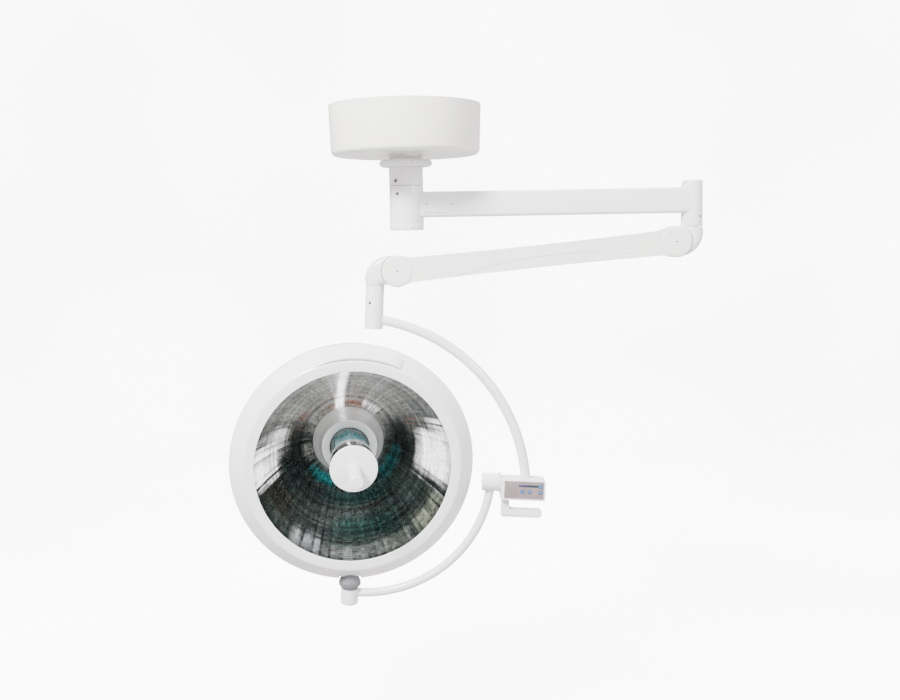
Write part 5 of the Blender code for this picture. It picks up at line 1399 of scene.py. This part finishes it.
# ---------------------------------------------------------------- geometry-node trees
class Recipe(Nodes):
    """One geometry-node tree with named sizes, turned into a plain mesh."""

    def __init__(self, name):
        self.tree = bpy.data.node_groups.new(name, "GeometryNodeTree")
        self.tree.interface.new_socket("Geometry", in_out="INPUT", socket_type="NodeSocketGeometry")
        self.tree.interface.new_socket("Geometry", in_out="OUTPUT", socket_type="NodeSocketGeometry")
        self.start = self.tree.nodes.new("NodeGroupInput")
        self.end = self.tree.nodes.new("NodeGroupOutput")
        self.names = {}
        self.values = {}

    def size(self, name, value, kind="NodeSocketFloat"):
        made = self.tree.interface.new_socket(name, in_out="INPUT", socket_type=kind)
        self.names[name] = made.identifier
        self.values[name] = value
        return self.start.outputs[name]

    def maths(self, operation, *values):
        return self.add("ShaderNodeMath", dict(enumerate(values)), operation=operation).outputs[0]

    def baked(self, obj, geometry, surface):
        """Runs the tree on obj and leaves the result, in one material, as its plain mesh."""
        real = self.add("GeometryNodeRealizeInstances", {0: geometry}).outputs[0]
        painted = self.add("GeometryNodeSetMaterial", {"Geometry": real, "Material": surface}).outputs[0]
        self.tree.links.new(painted, self.end.inputs[0])
        modifier = obj.modifiers.new(self.tree.name, "NODES")
        modifier.node_group = self.tree
        for name, value in self.values.items():
            modifier[self.names[name]] = value
        bpy.context.view_layer.update()
        graph = bpy.context.evaluated_depsgraph_get()
        mesh = bpy.data.meshes.new_from_object(obj.evaluated_get(graph))
        obj.modifiers.clear()
        obj.data = mesh
        return obj


def mirror_facets():
    """The bowl's facets: a grid bent into columns and rows, each raised with a fine groove round it."""
    recipe = Recipe("mirror_facets")
    columns = recipe.size("Columns", MIRROR_COLUMNS, "NodeSocketInt")
    rows = recipe.size("Rows", MIRROR_ROWS, "NodeSocketInt")
    apex = recipe.size("Apex Radius", APEX_RADIUS + 0.0002)
    opening = recipe.size("Opening Radius", OPENING_RADIUS - 0.0002)
    bottom = recipe.size("Apex Height", -APEX_DEPTH)
    top = recipe.size("Edge Height", MIRROR_EDGE)
    power = recipe.size("Curve Power", MIRROR_POWER)
    proud = recipe.size("Facet Height", FACET_PROUD)
    share = recipe.size("Facet Share", FACET_SHARE)
    surface = recipe.size("Surface", FINISHES["mirror"], "NodeSocketMaterial")
    counts = {"Vertices X": recipe.maths("ADD", columns, 1.0), "Vertices Y": recipe.maths("ADD", rows, 1.0)}
    grid = recipe.add("GeometryNodeMeshGrid", {"Size X": 1.0, "Size Y": 1.0, **counts})
    place = recipe.add("ShaderNodeSeparateXYZ", {0: recipe.add("GeometryNodeInputPosition").outputs[0]})
    turn = recipe.maths("MULTIPLY", recipe.maths("ADD", place.outputs[0], 0.5), math.tau)
    along = recipe.maths("ADD", place.outputs[1], 0.5)
    spread = recipe.maths("POWER", along, ROW_CROWDING)
    width = recipe.maths("SUBTRACT", opening, apex)
    radius = recipe.maths("ADD", apex, recipe.maths("MULTIPLY", spread, width))
    height = recipe.maths("SUBTRACT", top, bottom)
    rise = recipe.maths("MULTIPLY", recipe.maths("POWER", spread, power), height)
    x = recipe.maths("MULTIPLY", radius, recipe.maths("COSINE", turn))
    y = recipe.maths("MULTIPLY", radius, recipe.maths("SINE", turn))
    spot = recipe.add("ShaderNodeCombineXYZ", {0: x, 1: y, 2: recipe.maths("ADD", bottom, rise)})
    bent = recipe.add("GeometryNodeSetPosition", {"Geometry": grid.outputs[0], "Position": spot.outputs[0]})
    welded = recipe.add("GeometryNodeMergeByDistance", {"Geometry": bent.outputs[0], "Distance": 1e-6})
    shades = recipe.add("GeometryNodeFlipFaces", {0: welded.outputs[0]}).outputs[0]
    # the grid's faces run up each column in turn
    face = recipe.add("GeometryNodeInputIndex").outputs[0]
    column = recipe.maths("FLOOR", recipe.maths("DIVIDE", recipe.maths("ADD", face, 0.5), rows))
    row = recipe.maths("SUBTRACT", face, recipe.maths("MULTIPLY", column, rows))
    # a random painted reflection brightness for every facet, row and column, read by the mirror's colour
    shading = (
        ("facet_shade", face, 0.62, 1.38, 7),
        ("row_shade", row, 0.62, 1.38, 3),
        ("column_shade", column, 0.70, 1.30, 5),
    )
    for label, number, low, high, seed in shading:
        inputs = {2: low, 3: high, "ID": number, "Seed": seed}
        chance = recipe.add("FunctionNodeRandomValue", inputs, data_type="FLOAT").outputs[1]
        inputs = {"Geometry": shades, "Name": label, "Value": chance}
        stored = recipe.add("GeometryNodeStoreNamedAttribute", inputs, data_type="FLOAT", domain="FACE")
        shades = stored.outputs[0]
    inputs = {"Mesh": shades, "Offset Scale": proud, "Individual": True}
    raised = recipe.add("GeometryNodeExtrudeMesh", inputs, mode="FACES")
    inputs = {"Geometry": raised.outputs[0], "Selection": raised.outputs["Top"], "Scale": share}
    scaled = recipe.add("GeometryNodeScaleElements", inputs, domain="FACE").outputs[0]
    obj = bpy.data.objects.new("mirror_facets", bpy.data.meshes.new("mirror_facets"))
    bpy.context.scene.collection.objects.link(obj)
    recipe.baked(obj, scaled, surface)
    put(obj, LAMP)
    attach(obj, "lamp_head")


def mirror_depth(radius):
    share = max(radius - APEX_RADIUS, 0.0) / (OPENING_RADIUS - APEX_RADIUS)
    return -APEX_DEPTH + (MIRROR_EDGE + APEX_DEPTH) * share**MIRROR_POWER


def mirror_shell():
    """The plain back of the mirror bowl behind its facets."""
    count = 40
    width = OPENING_RADIUS - APEX_RADIUS
    radii = [OPENING_RADIUS - width * k / count for k in range(count + 1)]
    front = [(r + 0.0002, mirror_depth(r) - 0.0004) for r in radii]
    back = [(r + MIRROR_WALL, mirror_depth(r) - MIRROR_WALL) for r in radii]
    fit(spun("reflector", back + front[::-1], LAMP, 0, 160, closed=True), "lamp_head", "chrome")


def screws():
    """Hexagon-socket heads, one set for each body that carries them: place, facing and head radius."""
    cover_face = -ARM_WIDTH / 2 - FIT - COVER_THICKNESS
    sets = {
        "ceiling_set": [((-0.0275, -0.0387, -0.2100), (-0.0275, -0.0387, 0.0), 0.0052)],
        "horizontal_arm": [
            ((-0.0235, -0.0413, -0.2460), (-0.0235, -0.0413, 0.0), 0.0048),
            ((0.0555, cover_face, ARM_Z), (0, -1, 0), 0.0024),
            ((0.1250, cover_face, ARM_Z), (0, -1, 0), 0.0024),
            ((ARM_REACH + 0.0190, -0.0232, -0.3215), (0.0190, -0.0232, 0.0), 0.0034),
        ],
        "spring_arm": [],
        "upper_yoke": [],
    }
    face = CASING_WIDTH / 2 + FIT + DISC_THICKNESS
    for x in (0.0, -SPRING_ARM_LENGTH):
        sets["spring_arm"].append((SPRING @ Vector((x, -face, 0)), (0, -1, 0), 0.0024))
    across = -0.0116
    deep = -math.sqrt(SOCKET_RADIUS**2 - across**2)
    spot = YOKE @ Vector((across, deep, -0.0498))
    sets["upper_yoke"].append((spot, YOKE.to_3x3() @ Vector((across, deep, 0)), 0.0040))
    for body, places in sets.items():
        mesh = bpy.data.meshes.new(body + "_screws")
        mesh.from_pydata([tuple(p) for p, _, _ in places], [], [])
        facing = mesh.attributes.new("facing", "FLOAT_VECTOR", "POINT")
        facing.data.foreach_set("vector", [c for _, f, _ in places for c in Vector(f).normalized()])
        wide = mesh.attributes.new("head_radius", "FLOAT", "POINT")
        wide.data.foreach_set("value", [r for _, _, r in places])
        obj = bpy.data.objects.new(body + "_screws", mesh)
        bpy.context.scene.collection.objects.link(obj)
        recipe = Recipe(body + "_screws")
        height = recipe.size("Head Height", 0.30)
        socket = recipe.size("Socket Share", 0.50)
        steel = recipe.size("Steel", FINISHES["screw_steel"], "NodeSocketMaterial")
        head = recipe.add("GeometryNodeMeshCylinder", {"Vertices": 40, "Radius": 1.0, "Depth": height})
        key = recipe.add("GeometryNodeMeshCylinder", {"Vertices": 6, "Radius": socket, "Depth": height})
        inputs = {"Geometry": key.outputs[0], "Translation": (0, 0, 0.16)}
        inputs = {0: head.outputs[0], 1: recipe.add("GeometryNodeTransform", inputs).outputs[0]}
        hollow = recipe.add("GeometryNodeMeshBoolean", inputs, operation="DIFFERENCE").outputs[0]
        kind = "GeometryNodeInputNamedAttribute"
        vector = recipe.add(kind, {"Name": "facing"}, data_type="FLOAT_VECTOR").outputs[0]
        aligned = recipe.add("FunctionNodeAlignRotationToVector", {"Vector": vector}, axis="Z").outputs[0]
        size = recipe.add(kind, {"Name": "head_radius"}, data_type="FLOAT").outputs[0]
        inputs = {"Points": recipe.start.outputs[0], "Instance": hollow, "Rotation": aligned, "Scale": size}
        placed = recipe.add("GeometryNodeInstanceOnPoints", inputs).outputs[0]
        recipe.baked(obj, placed, steel)
        smooth(obj)
        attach(obj, body)


def front_pane():
    outer = OPENING_RADIUS + 0.005
    inner = BAND_RADIUS + 0.001
    ring = [
        (outer, GLASS_FRONT, 0.0005),
        (outer, GLASS_BACK, 0.0005),
        (inner, GLASS_BACK, 0.0005),
        (inner, GLASS_FRONT, 0.0005),
    ]
    fit(spun("front_glass", ring, LAMP, 2, 192, closed=True), "lamp_head", "clear_glass")


def cone():
    top = -APEX_DEPTH + CONE_HEIGHT
    outer = APEX_RADIUS - FIT * 2
    base = -APEX_DEPTH - 0.006
    corners = [
        (CONE_BORE, top, 0.001),
        (CONE_TOP_RADIUS, top, 0.003),
        (CONE_TOP_RADIUS + 0.002, top - 0.028, 0.003),
        (CONE_TOP_RADIUS + 0.008, top - 0.048, 0.003),
        (outer, -APEX_DEPTH + 0.004, 0.002),
        (outer, base),
        (CONE_BORE, base),
    ]
    fit(spun("reflector_cone", corners, LAMP, 5, 144, closed=True), "lamp_head", "satin_silver", angle=50)


def heat_prism():
    back = -APEX_DEPTH + CONE_HEIGHT - 0.003
    front = BAND_BACK - FIT
    inner = HEX_RADIUS - HEX_WALL
    ring = [(HEX_RADIUS, front), (HEX_RADIUS, back), (inner, back), (inner, front)]
    prism = spun("heat_glass", ring, LAMP @ at((0, 0, 0), (0, 0, math.pi / 2)), 0, 6, closed=True)
    bevel = prism.modifiers.new("edges", "BEVEL")
    bevel.width = 0.0005
    bevel.segments = 2
    fit(prism, "lamp_head", "teal_glass")


def cage():
    back = -APEX_DEPTH + CONE_HEIGHT - 0.010
    inner = HEX_RADIUS + FIT * 2
    outer = CONE_BORE - FIT
    middle = (inner + outer) / 2
    front = BAND_BACK + 0.006
    foot = [(outer, back + 0.004), (outer, back), (inner, back), (inner, back + 0.004)]
    piece = turned(as_piece("lamp_cage"), foot, 96, closed=True)
    head = [(outer, front + 0.003), (outer, front), (inner, front), (inner, front + 0.003)]
    join(piece, turned("cage_head", head, 96, closed=True))
    length = front - back
    for k in range(6):
        turn = math.radians(90 + 60 * k)
        post = cylinder("post", CAGE_WIRE, length, 20)
        place = (middle * math.cos(turn), middle * math.sin(turn), back + 0.0015 + length / 2)
        join(piece, put(post, at(place)))
    put(piece, LAMP)
    fit(piece, "lamp_head", "dark_steel")


def band_and_disc():
    inner = BAND_RADIUS - BAND_WALL
    corners = [
        (BAND_RADIUS, BAND_FRONT, 0.0005),
        (BAND_RADIUS, BAND_BACK, 0.0005),
        (inner, BAND_BACK, 0.0005),
        (inner, BAND_FRONT, 0.0005),
    ]
    fit(spun("chrome_band", corners, LAMP, 3, 160, closed=True), "lamp_head", "chrome")
    bore = SPINDLE_SHANK + FIT
    corners = [
        (bore, DISC_FRONT, 0.0004),
        (CENTRE_DISC_RADIUS, DISC_FRONT, 0.0028),
        (CENTRE_DISC_RADIUS, DISC_BACK, 0.001),
        (bore, DISC_BACK),
    ]
    disc = spun("centre_disc", corners, LAMP, 6, 160, closed=True)
    fit(disc, "lamp_head", "rim_enamel", 50)


def handle():
    root = DISC_FRONT + SEAM
    pocket = root + HANDLE_BORE_DEPTH
    corners = [
        (0, HANDLE_TIP),
        (HANDLE_RADIUS, HANDLE_TIP, 0.0035),
        (HANDLE_RADIUS, root, 0.001),
        (HANDLE_BORE, root),
        (HANDLE_BORE, pocket),
        (0, pocket),
    ]
    fit(spun("sterile_handle", corners, LAMP, 6, 96), "handle", "white_plastic", angle=50)


def balance_coil():
    """A fine round-wire coil in place of the faceted one."""
    start = -SEAT_FROM_PIVOT - SEAT_THICKNESS - SPRING_WIRE - FIT
    count = SPRING_TURNS * COIL_STEPS
    rings = []
    for k in range(count + 1):
        turn = math.tau * k / COIL_STEPS
        x = start - SPRING_LENGTH * k / count
        middle = Vector((x, SPRING_RADIUS * math.cos(turn), SPRING_LIFT + SPRING_RADIUS * math.sin(turn)))
        out = Vector((0, math.cos(turn), math.sin(turn)))
        advance = SPRING_LENGTH / count * COIL_STEPS / math.tau
        along = Vector((-advance, -SPRING_RADIUS * math.sin(turn), SPRING_RADIUS * math.cos(turn)))
        side = along.normalized().cross(out)
        steps = [math.tau * j / COIL_SIDES for j in range(COIL_SIDES)]
        rings.append([middle + (out * math.cos(a) + side * math.sin(a)) * SPRING_WIRE for a in steps])
    coil = put(lofted(as_piece("balance_spring"), rings), SPRING)
    fit(coil, "spring_arm", "spring_steel")


def hidden_nodes():
    """The inner solids that are right as they are take their real finishes."""
    slots = {part["node"]: part["material_slot"] for part in frame["record"]["subparts"]}
    for name, obj in frame["nodes"].items():
        if obj.hide_render:
            continue
        finish = FINISHES[slots[name]]
        for index in range(max(len(obj.material_slots), 1)):
            if obj.material_slots:
                obj.material_slots[index].material = finish
            else:
                obj.data.materials.append(finish)


# ================================================================ room
def room():
    """A pale round floor that sweeps up into a wall and is seen by the camera alone, and soft lights."""
    ground, flat, sweep, wall_top = -1.95, 5.0, 3.0, 4.0
    profile = [(0, ground), (flat, ground)]
    profile += arc((flat, ground + sweep), sweep, -90, 0, 24)[1:] + [(flat + sweep, wall_top)]
    floor = turned("floor", profile, 96)
    floor.data.shade_smooth()
    paint = Finish("pale_floor")
    mottle = paint.noise(0.5, 1.0).between(0.35, 0.65)
    pale = paint.mix(mottle, (0.97, 0.97, 0.98), (0.88, 0.88, 0.90))
    glow = paint.set(Base_Color=pale, Roughness=0.9, Emission_Color=pale, Emission_Strength=8.0)
    floor.data.materials.append(glow)
    for ray in ("diffuse", "glossy", "transmission", "shadow"):
        setattr(floor, "visible_" + ray, False)
    world = bpy.data.worlds.new("pale_sky")
    world.use_nodes = True
    sky = world.node_tree.nodes["Background"]
    sky.inputs["Color"].default_value = (0.99, 0.965, 0.955, 1.0)
    sky.inputs["Strength"].default_value = 1.65
    bpy.context.scene.world = world
    # each light: place, target, size, power, colour
    lights = {
        "key_light": ((-1.9, -2.8, 2.4), (-0.05, 0, -0.7), 1.1, 900, (1.0, 0.99, 0.985)),
        "side_light": ((3.2, -2.4, 1.4), (0.2, 0, -0.7), 1.4, 130, (0.985, 0.99, 1.0)),
        "back_light": ((0.6, 3.4, 2.2), (0.1, 0, -0.6), 2.0, 240, (1, 1, 1)),
    }
    for name, (place, target, size, power, color) in lights.items():
        data = bpy.data.lights.new(name, "AREA")
        data.shape, data.size, data.energy, data.color = "DISK", size, power, color
        light = bpy.data.objects.new(name, data)
        light.location = place
        light.rotation_euler = (Vector(target) - Vector(place)).to_track_quat("-Z", "Y").to_euler()
        bpy.context.scene.collection.objects.link(light)


def camera():
    """A camera in front, a little below level with the arms, tipped down and rolled."""
    tip, roll = math.radians(-5.71), math.radians(1.0)
    ahead = Vector((0, math.cos(tip), math.sin(tip)))
    right = Vector((1, 0, 0))
    up = right.cross(ahead)
    across = right * math.cos(roll) - up * math.sin(roll)
    above = up * math.cos(roll) + right * math.sin(roll)
    data = bpy.data.cameras.new("view")
    data.sensor_width, data.lens = 36.0, 44.0
    view = bpy.data.objects.new("view", data)
    turn = Matrix((across, above, -ahead)).transposed().to_4x4()
    view.matrix_world = Matrix.Translation((0.1147, -3.1149, -0.376)) @ turn
    bpy.context.scene.collection.objects.link(view)
    bpy.context.scene.camera = view


# the order in which pieces are made
STEPS = (
    camera, canopy, collar, post_and_hub, arm_beam, end_hub, elbows, casing, pivot_covers,
    balance_coil, socket, upper_tube, control_box, buttons, panel_marks, hand_grip, ring_and_stub,
    lower_tube_and_foot, barrel, rim, hand_bar, dome, mirror_shell, mirror_facets, front_pane, cone,
    heat_prism, cage, band_and_disc, handle, screws, hidden_nodes, room,
)
for make in STEPS:
    make()
